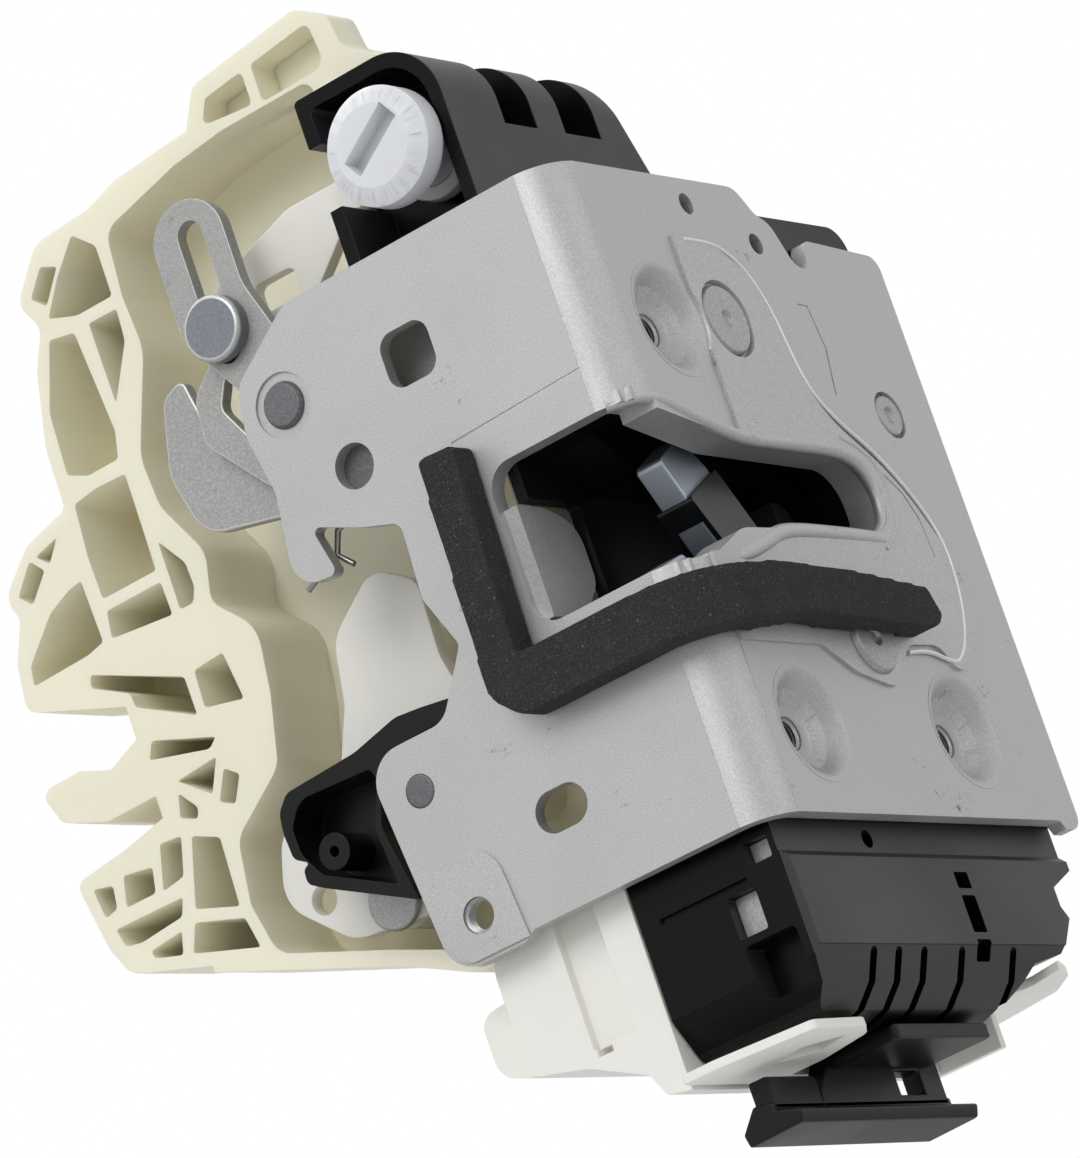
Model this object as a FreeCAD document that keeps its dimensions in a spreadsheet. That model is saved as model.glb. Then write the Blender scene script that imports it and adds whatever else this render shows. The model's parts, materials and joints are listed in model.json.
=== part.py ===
import FreeCAD, Part
import math
import os
import Sketcher
from FreeCAD import Placement, Rotation, Vector

# Door latch actuator: a striker latch with its claw and pawl behind a steel L plate, joined to
# a moulded case that holds the locking motor, the levers and the key coupling.
# Millimetres. X runs out through the shut face, +Z up. While a piece is drawn, x = 0 is the
# shut face, y = 0 the outer face of the short leg and z = 0 the lower edge of the plate; every
# piece is then placed so that the origin lies on the shut face between the two lower screws.

DIMENSIONS = {
    "plate": {"wall": 2.2, "height": 94.4, "depth": 80.0, "bend": 7.0, "field": 0.5, "pad": 0.35},
    "screw": {"near": 17.5, "far": 57.5, "low": 13.0, "high": 72.0, "core": 2.5,
              "dimple": 8.2, "floor": 4.6, "sink": 4.0},
    "corner_screw": {"x": 47.9, "z": 5.0},
    "mouth": {"reach": 25.0, "low": 36.5, "high": 59.6, "neck_low": 42.2, "neck_high": 54.3,
              "end": 56.7, "lip": 3.6, "lip_short": 3.0, "lip_wall": 1.8},
    "claw": {"y": 39.6, "z": 25.8, "pin": 4.0, "near": 7.6, "thick": 4.4, "coat": 0.8},
    "pawl": {"y": 31.7, "z": 72.9, "pin": 4.0},
    "frame": {"y": 67.8, "z": 61.2, "pin": 2.6},
    "rivet": {"head": 5.4, "cap": 0.9, "tail_grip": 1.4, "tail": 1.6, "low_x": 50.6,
              "low_z": 24.1, "low_pin": 2.35},
    "lever": {"x": 51.7, "z": 81.6, "pin": 2.9, "ring": 4.6, "thick": 2.2, "gap": 0.35},
    "swivel": {"x": 44.0, "z": 69.0, "pin": 2.2, "front": 4.0, "window": 3.2},
    "stud": {"x": 58.9, "z": 96.5, "head": 4.75, "head_thick": 2.4, "shank": 1.7,
             "slot": 2.1, "slot_top": 112.9, "slot_low": 93.6},
    "key": {"x": 23.6, "z": 107.2, "disc": 8.3, "shaft": 4.4, "front": 2.5, "slot_wide": 3.3,
            "slot_long": 10.4, "slot_deep": 3.0},
    "hood": {"front": 3.0, "back": 57.0, "left": 36.6, "right": 13.7, "top": 120.4, "foot": 92.3,
             "round": 9.0, "wall": 2.2, "recess": 12.0},
    "housing": {"near": 2.5, "floor": 23.6, "back": 77.5, "front": 2.6, "top": 92.0,
                "skirt_left": 27.6, "skirt_right": 3.0, "skirt_front": 4.2, "skirt_low": 25.9,
                "pit": 13.4, "channel": 21.8, "spring_well": 8.6, "well": 17.6},
    "case": {"rim": 14.0, "floor": 30.0, "wall": 1.9, "back": 48.0, "post": 3.8},
    "cover": {"thick": 2.2, "screw_head": 3.2, "screw_deep": 9.0, "screw": 1.5},
    "bracket": {"front": 4.2, "depth": 9.0, "wall": 1.6, "floor": 2.0, "boss": 2.3, "hole": 0.7,
                "post_x": 45.8, "post_z": 33.8, "boss_x": 69.7, "boss_z": 23.4},
    "link": {"front": 16.5, "thick": 2.6, "pivot_x": 70.0, "pivot_z": 16.4, "pin": 2.4,
             "pin_head": 4.2, "eye": 2.1, "eye_x": 81.3, "eye_z": 21.2},
    "arm": {"front": 11.2, "thick": 2.4, "hub": 6.4},
    "white": {"front": 4.0, "back": 42.0, "right": 27.9},
    "flange": {"thick": 1.8},
    "foot": {"face": 20.0, "thick": 3.0, "low": 34.0, "ledge": 5.5, "head": 2.2},
    "foam": {"thick": 5.0, "gap": 0.3},
    "motor": {"right": 46.0, "length": 25.0, "z": 104.0, "radius": 9.6, "flat": 6.4, "y": 40.0,
              "shaft": 1.0, "neck": 5.0, "worm": 3.1, "worm_core": 2.2, "worm_length": 13.0,
              "pitch": 2.6},
    "gear": {"radius": 12.4, "teeth": 24, "tooth": 1.5, "thick": 5.0, "pin": 2.0, "hub": 4.4,
             "mesh": 0.2},
    "chamber": {"wall": 2.0, "pad": 0.4},
    "spring": {"wire": 0.6, "claw_radius": 6.4, "pawl_radius": 6.0, "lever_radius": 3.0},
    "bumper": {"y": 60.2, "z": 48.0, "radius": 3.2},
    "terminal": {"wide": 1.5, "thick": 0.64, "long": 9.0, "pitch": 3.0, "row": 4},
    "fit": {"running": 0.06, "air": 0.3},
}

# Irregular mouldings and pressings, as drawn: (across, up, corner radius).
OUTLINES = {
    # short leg of the plate, seen from outside: across is x, up is z
    "plate_short": [
        (-6, 0, 0), (-40.5, 0, 0), (-42.5, -1.1, 2), (-54.6, -1.1, 5), (-55.9, 13.4, 6),
        (-57.6, 31.2, 5), (-43.6, 31.2, 4), (-37.4, 39.8, 1.2), (-40.6, 47.8, 2),
        (-40.0, 58.8, 2), (-46.0, 60.8, 2), (-53.8, 64.3, 0.8), (-51.9, 56.6, 1),
        (-59.2, 57.4, 4), (-57.3, 71.0, 6), (-59.0, 80.0, 8), (-57.8, 87.0, 4),
        (-46.6, 94.4, 6), (-6, 94.4, 0)],
    # long leg, seen from the shut side: across is y, up is z
    "plate_long": [
        (6, 0, 0), (74.5, 0, 0.4), (75.6, -1.3, 0.5), (80, -1.3, 2.5), (80, 86.6, 2.5),
        (60.2, 87.6, 2.2), (59.6, 83.0, 1.2), (56.2, 83.0, 3), (53.0, 89.4, 4), (49.8, 90.6, 3),
        (46.5, 94.4, 4), (6, 94.4, 0)],
    "raised_field": [
        (24.5, 84.9, 0), (33.3, 84.9, 9), (44.6, 79.0, 10), (45.6, 62.0, 16), (62.5, 50.5, 30),
        (70.6, 38.5, 12), (70.4, 29.0, 7), (61.0, 20.6, 3), (57.5, 25.6, 4), (48.6, 25.2, 4),
        (43.2, 18.4, 5), (33.0, 20.6, 6), (26.0, 24.4, 2), (6.0, 24.4, 0), (6.0, 44.0, 0),
        (24.5, 48.0, 0)],
    "corner_pad": [
        (-41.3, -0.6, 0), (-53.5, -0.6, 3.5), (-55.2, 13.6, 0), (-42.6, 13.6, 5)],
    # claw of the latch, open, seen from the shut side: across is y, up is z
    "claw_steel": [
        (15.2, 54.6, 1.0), (22.2, 58.4, 1.2), (26.8, 54.2, 1.0), (36.0, 37.0, 2),
        (49.6, 34.4, 8), (50.6, 18.6, 9), (33.6, 14.6, 10), (13.4, 25.0, 14),
        (3.2, 33.2, 2), (4.0, 37.6, 1), (12.8, 40.6, 1), (20.6, 35.0, 2.5), (27.4, 33.6, 2.5),
        (23.0, 42.2, 6)],
    "claw_coat": [
        (18.4, 48.8, 0.6), (27.4, 53.4, 0.6), (37.8, 38.4, 2), (51.6, 36.0, 9),
        (52.4, 17.0, 10), (33.4, 12.8, 10), (14.4, 22.4, 6), (11.0, 27.6, 0.6),
        (13.4, 37.6, 0.6), (20.0, 33.6, 4), (28.4, 31.8, 3), (23.8, 41.8, 6)],
    "pawl_steel": [
        (24.0, 66.2, 5), (40.0, 66.8, 3), (46.4, 63.4, 0.8), (50.6, 66.6, 1.2),
        (45.0, 73.6, 6), (35.0, 82.6, 8), (23.6, 79.6, 7)],
    "claw_pit": [
        (1.0, 61.0, 0), (1.0, 28.0, 0), (12.0, 18.0, 6), (28.0, 8.0, 8), (60.0, 9.0, 10),
        (64.0, 40.0, 10), (61.0, 66.0, 8), (52.0, 84.0, 8), (22.0, 87.0, 8), (20.0, 62.0, 4)],
    "mouth_lug": [
        (1.4, 37.6, 0), (9.0, 37.6, 2), (14.9, 43.0, 4), (14.9, 51.6, 4.5), (8.0, 53.8, 3),
        (1.4, 53.8, 0)],
    "slot_lever": [
        (-57.6, 78.0, 3), (-59.4, 87.6, 6), (-65.4, 97.6, 6), (-65.4, 122.2, 5.9),
        (-53.3, 122.2, 5.9), (-53.3, 101.0, 8), (-50.4, 92.4, 6), (-46.2, 86.6, 3),
        (-46.4, 76.4, 4)],
    "stud_lever": [
        (-63.4, 100.9, 4.2), (-54.6, 100.9, 4.2), (-54.9, 92.6, 3.8), (-62.2, 91.4, 3),
        (-64.6, 87.2, 2), (-61.6, 81.6, 4), (-52.6, 76.2, 6), (-38.6, 75.4, 5.2),
        (-38.6, 63.4, 5.2), (-50.0, 63.4, 5), (-61.6, 74.6, 6), (-68.9, 83.6, 4),
        (-68.4, 90.4, 4), (-63.6, 94.2, 1)],
    "sector_lever": [
        (-70.9, 95.0, 1.2), (-75.0, 93.6, 3), (-78.0, 83.0, 8), (-75.4, 73.0, 6),
        (-62.8, 70.2, 8), (-47.0, 62.4, 4), (-37.8, 62.6, 5), (-37.8, 75.0, 5),
        (-50.0, 76.4, 4), (-62.2, 78.2, 3), (-68.4, 82.8, 3), (-69.6, 88.0, 4)],
    "case_top": [
        (-42.0, 90.0, 0), (-100.4, 86.0, 0), (-100.3, 98.0, 10), (-97.6, 108.9, 8),
        (-94.7, 114.2, 2.5), (-97.2, 119.0, 2.5), (-91.2, 125.8, 4), (-80.8, 126.4, 6),
        (-75.0, 128.2, 4), (-61.0, 129.2, 0), (-50.0, 121.4, 0), (-37.4, 121.4, 0),
        (-37.4, 96.0, 0)],
    "case_box": [
        (-65.0, 126.6, 0), (-61.2, 129.2, 2), (-57.9, 134.6, 2), (-38.4, 136.9, 3),
        (-33.6, 133.9, 2), (-32.8, 128.4, 3), (-27.9, 124.9, 1.2), (-27.9, 121.4, 0),
        (-50.0, 121.4, 0)],
    "case_low": [
        (-28.2, 1.6, 0), (-59.8, 1.6, 5), (-71.3, 7.3, 4), (-100.6, 18.3, 0),
        (-101.0, 56.0, 0), (-100.8, 89.0, 0), (-64.0, 96.0, 0), (-37.4, 96.0, 0),
        (-37.4, 91.7, 0), (-28.2, 91.7, 0)],
    "case_lobe": [
        (-99.0, 57.9, 0), (-117.2, 64.6, 2), (-116.3, 71.7, 3), (-113.4, 77.5, 2),
        (-114.9, 81.0, 3), (-108.6, 86.6, 3), (-99.0, 89.0, 0)],
    "case_clip_high": [
        (-99.0, 45.0, 0), (-109.9, 44.9, 1.2), (-117.2, 47.7, 2), (-119.4, 53.2, 1.5),
        (-111.8, 53.4, 1.5), (-106.7, 51.4, 1.5), (-99.0, 54.4, 0)],
    "case_clip_low": [
        (-99.0, 18.8, 0), (-114.0, 23.5, 3), (-116.2, 28.0, 3), (-118.2, 38.9, 1.5),
        (-108.8, 40.0, 1.2), (-99.0, 42.0, 0)],
    "case_bay": [
        (-30.2, 4.6, 0), (-58.8, 4.6, 6), (-72.0, 10.0, 6), (-89.6, 16.6, 4), (-91.4, 24.6, 4),
        (-90.0, 34.0, 4), (-80.0, 40.6, 4), (-77.4, 50.4, 4), (-76.0, 60.0, 6),
        (-82.0, 66.2, 3), (-80.2, 73.2, 5), (-85.0, 82.1, 6), (-85.6, 90.0, 8),
        (-79.4, 104.0, 8), (-80.0, 112.5, 6), (-79.2, 122.2, 3), (-65.0, 125.6, 3),
        (-55.8, 126.6, 3), (-39.4, 126.6, 2), (-39.4, 90.8, 0), (-30.2, 90.8, 0)],
    "top_box": [
        (-36.2, 127.2, 2), (-37.0, 134.2, 1.2), (-47.8, 133.0, 0.8), (-47.8, 127.2, 0.8)],
    "top_box_left": [
        (-49.6, 127.6, 0.8), (-49.6, 132.8, 0.8), (-56.6, 132.0, 0.8), (-58.4, 128.6, 0.8)],
    "chamber": [
        (-42.0, 24.0, 4), (-70.0, 24.0, 8), (-98.6, 44.0, 8), (-98.6, 92.0, 8),
        (-93.0, 117.0, 6), (-42.0, 117.0, 4)],
    "cable_bracket": [
        (-42.3, 35.4, 0.8), (-44.6, 33.0, 1.5), (-57.4, 32.6, 4), (-60.6, 26.0, 4),
        (-58.4, 10.9, 0.8), (-75.8, 20.8, 1), (-72.8, 22.6, 0.6), (-76.6, 24.6, 1.2),
        (-76.2, 32.4, 2.5), (-68.6, 33.2, 4), (-54.4, 35.4, 4), (-47.0, 34.6, 3)],
    "bracket_pocket": [
        (-58.0, 31.6, 1.2), (-62.0, 26.0, 3), (-60.2, 14.6, 1), (-66.4, 18.2, 1),
        (-66.8, 25.4, 1), (-74.4, 26.0, 1), (-74.2, 31.0, 1.2), (-66.0, 32.0, 3)],
    "release_link": [
        (-57.2, 60.4, 4), (-50.6, 56.0, 3), (-51.0, 44.8, 4), (-49.6, 38.6, 3), (-57.8, 29.0, 6),
        (-61.6, 12.2, 6), (-78.6, 14.0, 7), (-88.0, 23.0, 6), (-84.6, 33.2, 6),
        (-73.0, 35.0, 4), (-68.2, 44.6, 5), (-66.4, 54.0, 6)],
    "lock_arm": [
        (-23.6, 113.4, 0), (-17.2, 107.2, 0), (-23.6, 101.0, 0), (-38.6, 104.8, 2),
        (-48.0, 97.4, 4), (-62.0, 93.8, 5), (-69.6, 100.4, 5), (-65.0, 108.2, 5),
        (-48.0, 111.6, 6)],
    "white_block": [
        (-27.9, 1.3, 0), (-50.6, 1.3, 3), (-51.6, -5.4, 0.6), (-57.6, -6.0, 2.6),
        (-57.4, -14.6, 3.4), (-51.4, -17.0, 1), (-42.0, -19.4, 1), (-33.4, -23.8, 1),
        (-31.8, -27.2, 0.8), (-27.9, -28.0, 0)],
    # the ivory plate under the latch, seen from above: across is x, up is y
    "flange": [
        (-27.6, 5.2, 0), (-22.0, 5.2, 2), (-9.2, 8.0, 1.5), (-8.6, 20.0, 1.5), (-14.6, 26.2, 2),
        (-24.4, 26.2, 1), (-24.4, 64.0, 1), (-8.2, 66.0, 4), (-1.0, 63.0, 1), (-3.6, 69.0, 2),
        (-12.0, 76.4, 4), (-27.6, 80.6, 1)],
    "foot_web": [
        (8.6, -28.4, 0), (55.0, -28.4, 0), (55.0, -36.0, 0), (8.6, -36.0, 0)],
    "foot_ledge": [
        (-23.0, -34.0, 0), (-14.0, -34.0, 0.8), (-14.4, -36.4, 0.6), (-19.0, -39.6, 1),
        (-26.0, -39.6, 1.5), (-26.0, -35.0, 0.8)],
    # the foam strip: on the short leg (x, z) and on the long leg (y, z)
    "foam_short": [
        (-7.0, 33.4, 0), (-26.4, 33.4, 0.8), (-25.4, 63.4, 0.8), (-31.4, 63.9, 1.2),
        (-32.6, 29.4, 4), (-28.4, 25.4, 3), (-7.0, 25.4, 0)],
    "foam_long": [
        (7.0, 25.4, 0), (18.0, 26.8, 8), (30.0, 26.4, 10), (44.0, 26.0, 3), (50.8, 26.2, 1),
        (52.6, 27.8, 1.2), (50.8, 31.9, 1.2), (31.0, 33.6, 12), (12.0, 34.0, 6),
        (7.0, 33.4, 0)],
}


class Size:
    """A size that knows its value and the sheet formula that gives it."""

    def __init__(self, value, formula):
        self.value = float(value)
        self.formula = formula

    @staticmethod
    def of(thing):
        """A Size as it is, or a plain number as a Size."""
        return thing if isinstance(thing, Size) else Size(thing, f"({float(thing)!r})")

    def _join(self, other, sign, value):
        return Size(value, f"({self.formula} {sign} {other.formula})")

    def __add__(self, other):
        other = Size.of(other)
        return self._join(other, "+", self.value + other.value)

    def __sub__(self, other):
        other = Size.of(other)
        return self._join(other, "-", self.value - other.value)

    def __mul__(self, other):
        other = Size.of(other)
        return self._join(other, "*", self.value * other.value)

    def __truediv__(self, other):
        other = Size.of(other)
        return self._join(other, "/", self.value / other.value)

    def __radd__(self, other):
        return Size.of(other) + self

    def __rsub__(self, other):
        return Size.of(other) - self

    def __rmul__(self, other):
        return Size.of(other) * self

    def __neg__(self):
        return Size(0, "0") - self


class Sheet:
    """The driving dimensions in a spreadsheet, read back as attributes such as plate_wall."""

    def __init__(self, doc):
        self.sheet = doc.addObject("Spreadsheet::Sheet", "sizes")
        self.row = 0
        for group, entries in DIMENSIONS.items():
            for name, value in entries.items():
                self._enter(f"{group}_{name}", value)
        self.outlines = {name: [self._corner(name, place, corner)
                                for place, corner in enumerate(corners, 1)]
                         for name, corners in OUTLINES.items()}
        doc.recompute()

    def _enter(self, alias, value):
        self.row += 1
        self.sheet.set(f"A{self.row}", alias)
        self.sheet.set(f"B{self.row}", str(value))
        self.sheet.setAlias(f"B{self.row}", alias)
        size = Size(value, f"sizes.{alias}")
        setattr(self, alias, size)
        return size

    def _corner(self, name, place, corner):
        labels = (f"{name}_{place}_across", f"{name}_{place}_up", f"{name}_{place}_round")
        return tuple(self._enter(label, value) for label, value in zip(labels, corner))


def bind(thing, setting, size):
    """Tie a property or constraint to the sheet."""
    thing.setExpression(setting, Size.of(size).formula)


class Drawing:
    """A sketch with its constraints gathered up, added in one go and tied to the sheet."""

    def __init__(self, sketch):
        self.sketch = sketch
        self.constraints = []
        self.sizes = {}

    def add(self, geometry, construction=False):
        return self.sketch.addGeometry(geometry, construction)

    def constrain(self, kind, *args, size=None):
        """Note a constraint, and the size that its value comes from where it has one."""
        if size is not None:
            size = Size.of(size)
            self.sizes[len(self.constraints)] = size
            args += (size.value,)
        self.constraints.append(Sketcher.Constraint(kind, *args))

    def pin_down(self, item, place, across, up):
        """Fix one point at its distances from the sketch's origin."""
        self.constrain("DistanceX", item, place, size=across)
        self.constrain("DistanceY", item, place, size=up)

    def finish(self):
        """Add the constraints and tie those with a size of the sheet to it."""
        self.sketch.addConstraint(self.constraints)
        for index, size in self.sizes.items():
            if "sizes." in size.formula:
                bind(self.sketch, f"Constraints[{index}]", size)


def flat(across, up):
    """A sketch point from two sizes."""
    return Vector(Size.of(across).value, Size.of(up).value, 0)


def draw_outline(drawing, corners):
    """Draw a closed outline; a corner is (across, up) or (across, up, radius)."""
    count = len(corners)
    points = [flat(corner[0], corner[1]) for corner in corners]
    ends = []
    for index, corner in enumerate(corners):
        here = points[index]
        radius = Size.of(corner[2]).value if len(corner) > 2 else 0
        if radius <= 0:
            ends.append((here, here, None))
            continue
        back = (points[index - 1] - here).normalize()
        ahead = (points[(index + 1) % count] - here).normalize()
        half = back.getAngle(ahead) / 2
        reach = radius / math.tan(half)
        centre = here + (back + ahead).normalize() * (radius / math.sin(half))
        ends.append((here + back * reach, here + ahead * reach, centre))
    sides = [drawing.add(Part.LineSegment(ends[index][1], ends[(index + 1) % count][0]))
             for index in range(count)]
    for index, corner in enumerate(corners):
        before, after = sides[index - 1], sides[index]
        first, last, centre = ends[index]
        if centre is None:
            drawing.constrain("Coincident", before, 2, after, 1)
            drawing.pin_down(after, 1, corner[0], corner[1])
            continue
        bends_left = (first - centre).cross(last - centre).z > 0
        start, stop = (first, last) if bends_left else (last, first)
        circle = Part.Circle(centre, Vector(0, 0, 1), Size.of(corner[2]).value)
        arc = drawing.add(Part.ArcOfCircle(
            circle, circle.parameter(start), circle.parameter(stop)))
        into, out = (1, 2) if bends_left else (2, 1)
        drawing.constrain("Tangent", before, 2, arc, into)
        drawing.constrain("Tangent", arc, out, after, 1)
        drawing.constrain("Radius", arc, size=corner[2])
        point = drawing.add(Part.Point(points[index]), True)
        drawing.constrain("PointOnObject", point, 1, before)
        drawing.constrain("PointOnObject", point, 1, after)
        drawing.pin_down(point, 1, corner[0], corner[1])


def draw_circle(drawing, across, up, radius):
    """Draw a circle about a point."""
    ring = drawing.add(Part.Circle(flat(across, up), Vector(0, 0, 1), Size.of(radius).value))
    drawing.pin_down(ring, 3, across, up)
    drawing.constrain("Radius", ring, size=radius)


def draw_slot(drawing, start, stop, radius):
    """Draw a round-ended slot between two points."""
    begin, end = flat(*start), flat(*stop)
    reach = Size.of(radius).value
    angle = math.atan2(end.y - begin.y, end.x - begin.x)
    side = Vector(-math.sin(angle), math.cos(angle), 0) * reach
    quarter = math.pi / 2
    near = drawing.add(Part.ArcOfCircle(
        Part.Circle(begin, Vector(0, 0, 1), reach), angle + quarter, angle + 3 * quarter))
    far = drawing.add(Part.ArcOfCircle(
        Part.Circle(end, Vector(0, 0, 1), reach), angle - quarter, angle + quarter))
    low = drawing.add(Part.LineSegment(begin - side, end - side))
    high = drawing.add(Part.LineSegment(end + side, begin + side))
    drawing.constrain("Tangent", near, 2, low, 1)
    drawing.constrain("Tangent", low, 2, far, 1)
    drawing.constrain("Tangent", far, 2, high, 1)
    drawing.constrain("Tangent", high, 2, near, 1)
    drawing.pin_down(near, 3, *start)
    drawing.pin_down(far, 3, *stop)
    drawing.constrain("Radius", near, size=radius)
    drawing.constrain("Equal", near, far)


def draw_rib(drawing, start, stop, thick):
    """Draw a straight wall of one thickness along a line."""
    begin, end = flat(*start), flat(*stop)
    along = (end - begin).normalize()
    side = Vector(-along.y, along.x, 0) * (Size.of(thick).value / 2)
    spine = drawing.add(Part.LineSegment(begin, end), True)
    corners = [begin - side, end - side, end + side, begin + side]
    sides = [drawing.add(Part.LineSegment(corners[index], corners[(index + 1) % 4]))
             for index in range(4)]
    for index in range(4):
        drawing.constrain("Coincident", sides[index - 1], 2, sides[index], 1)
    drawing.pin_down(spine, 1, *start)
    drawing.pin_down(spine, 2, *stop)
    drawing.constrain("Symmetric", sides[3], 1, sides[3], 2, spine, 1)
    drawing.constrain("Symmetric", sides[1], 1, sides[1], 2, spine, 2)
    drawing.constrain("Perpendicular", sides[3], spine)
    drawing.constrain("Perpendicular", sides[1], spine)
    drawing.constrain("Distance", sides[3], 1, sides[3], 2, size=thick)
    drawing.constrain("Distance", sides[1], 1, sides[1], 2, size=thick)


class Outline:
    """A closed outline of corners, each with its own rounding."""

    def __init__(self, corners):
        self.corners = corners

    def draw(self, drawing):
        draw_outline(drawing, self.corners)


class Box(Outline):
    """A rectangle between two corners, with one rounding for all four."""

    def __init__(self, left, low, right, high, rounding=0):
        super().__init__([(left, low, rounding), (right, low, rounding),
                          (right, high, rounding), (left, high, rounding)])


class Ring:
    """A circle."""

    def __init__(self, across, up, radius):
        self.settings = (across, up, radius)

    def draw(self, drawing):
        draw_circle(drawing, *self.settings)


class Slot:
    """A round-ended slot."""

    def __init__(self, start, stop, radius):
        self.settings = (start, stop, radius)

    def draw(self, drawing):
        draw_slot(drawing, *self.settings)


class Rib:
    """A straight wall along a line."""

    def __init__(self, start, stop, thick):
        self.settings = (start, stop, thick)

    def draw(self, drawing):
        draw_rib(drawing, *self.settings)


class Piece:
    """A body that is padded, cut and turned from sketches on its own origin planes."""

    # Each plane's name, and whether its normal runs towards falling values of its axis.
    PLANES = {"x": ("YZ_Plane", False), "y": ("XZ_Plane", True), "z": ("XY_Plane", False)}

    def __init__(self, doc, sizes, label):
        self.doc = doc
        self.body = doc.addObject("PartDesign::Body", label)
        self.body.Label = label
        bind(self.body, "Placement.Base.y", -(sizes.screw_near + sizes.screw_far) / 2)
        bind(self.body, "Placement.Base.z", -sizes.screw_low)

    def sketch(self, axis, level, shapes, across=0, up=0):
        """A sketch square to an axis, at a level along it."""
        role, falling = self.PLANES[axis]
        plane = next(item for item in self.body.Origin.OriginFeatures if item.Role == role)
        sketch = self.body.newObject("Sketcher::SketchObject", f"{self.body.Name}_sketch")
        sketch.AttachmentSupport = [(plane, "")]
        sketch.MapMode = "FlatFace"
        bind(sketch, "AttachmentOffset.Base.x", across)
        bind(sketch, "AttachmentOffset.Base.y", up)
        bind(sketch, "AttachmentOffset.Base.z", -Size.of(level) if falling else level)
        drawing = Drawing(sketch)
        for shape in shapes:
            shape.draw(drawing)
        drawing.finish()
        return sketch

    def feature(self, kind, sketch):
        feature = self.body.newObject(f"PartDesign::{kind}", f"{self.body.Name}_{kind}")
        feature.Profile = sketch
        return feature

    def pad(self, axis, low, high, *shapes):
        """Add material between two levels along an axis."""
        falling = self.PLANES[axis][1]
        sketch = self.sketch(axis, high if falling else low, shapes)
        feature = self.feature("Pad", sketch)
        bind(feature, "Length", Size.of(high) - low)
        return self

    def cut(self, axis, low, high, *shapes):
        """Take material away between two levels along an axis."""
        falling = self.PLANES[axis][1]
        sketch = self.sketch(axis, low if falling else high, shapes)
        feature = self.feature("Pocket", sketch)
        bind(feature, "Length", Size.of(high) - low)
        return self

    def _turned(self, kind, axis, place, profile):
        if axis == "x":
            sketch = self.sketch("y", place[0], [Outline(profile)], up=place[1])
        elif axis == "y":
            sketch = self.sketch("x", place[0], [Outline(profile)], up=place[1])
        else:
            sketch = self.sketch("y", place[1], [Outline(profile)], across=place[0])
        feature = self.feature(kind, sketch)
        feature.ReferenceAxis = (sketch, ["V_Axis" if axis == "z" else "H_Axis"])
        feature.Angle = 360
        return self

    def turn(self, axis, place, profile):
        """Add a turned form about an axis; the profile is (along, radius)."""
        return self._turned("Revolution", axis, place, profile)

    def bore(self, axis, place, profile):
        """Take a turned form away about an axis; the profile is (along, radius)."""
        return self._turned("Groove", axis, place, profile)


def step_profile(*stations):
    """A turned profile of cylinders: pairs of (from, to, radius) that follow on."""
    corners = [(stations[0][0], 0)]
    for low, high, radius in stations:
        corners += [(low, radius), (high, radius)]
    corners.append((stations[-1][1], 0))
    return corners


def mouth_short(s, grow=0, edge=2):
    """The striker mouth where it crosses the short leg."""
    return Outline([(edge, s.mouth_low - grow), (edge, s.mouth_high + grow),
                    (-s.mouth_reach - grow, s.mouth_high + grow, 4),
                    (-s.mouth_reach - grow, s.mouth_low - grow, 4)])


def mouth_long(s, grow=0, edge=-2):
    """The striker mouth in the long leg: a flared slot with a round end."""
    half = (s.mouth_neck_high - s.mouth_neck_low) / 2 + grow
    end = s.mouth_end + grow
    return Outline([(edge, s.mouth_low - grow), (8, s.mouth_low + 0.6 - grow, 6),
                    (16, s.mouth_neck_low - 1.2 - grow, 8), (44, s.mouth_neck_low - grow, 4),
                    (end, s.mouth_neck_low - grow, half - 0.4),
                    (end, s.mouth_neck_high + grow, half - 0.4),
                    (22, s.mouth_neck_high + 0.6 + grow, 10),
                    (8, s.mouth_high - 2 + grow, 6), (edge, s.mouth_high + grow)])


def screw_places(s):
    """Where the three door screws go, as (y, z)."""
    return [(s.screw_near, s.screw_high), (s.screw_near, s.screw_low), (s.screw_far, s.screw_low)]


def lever_level(s, layer):
    """The front face of a lever layer; layer 0 is next to the plate."""
    return s.plate_wall + s.lever_gap + layer * (s.lever_thick + s.lever_gap)


def inset(corners, wall, middle):
    """Corners drawn in towards a middle point by a wall."""
    def inwards(value, centre):
        return value + wall if value.value < centre else value - wall
    return [(inwards(across, middle[0]), inwards(up, middle[1]), rounding - wall)
            for across, up, rounding in corners]


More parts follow.
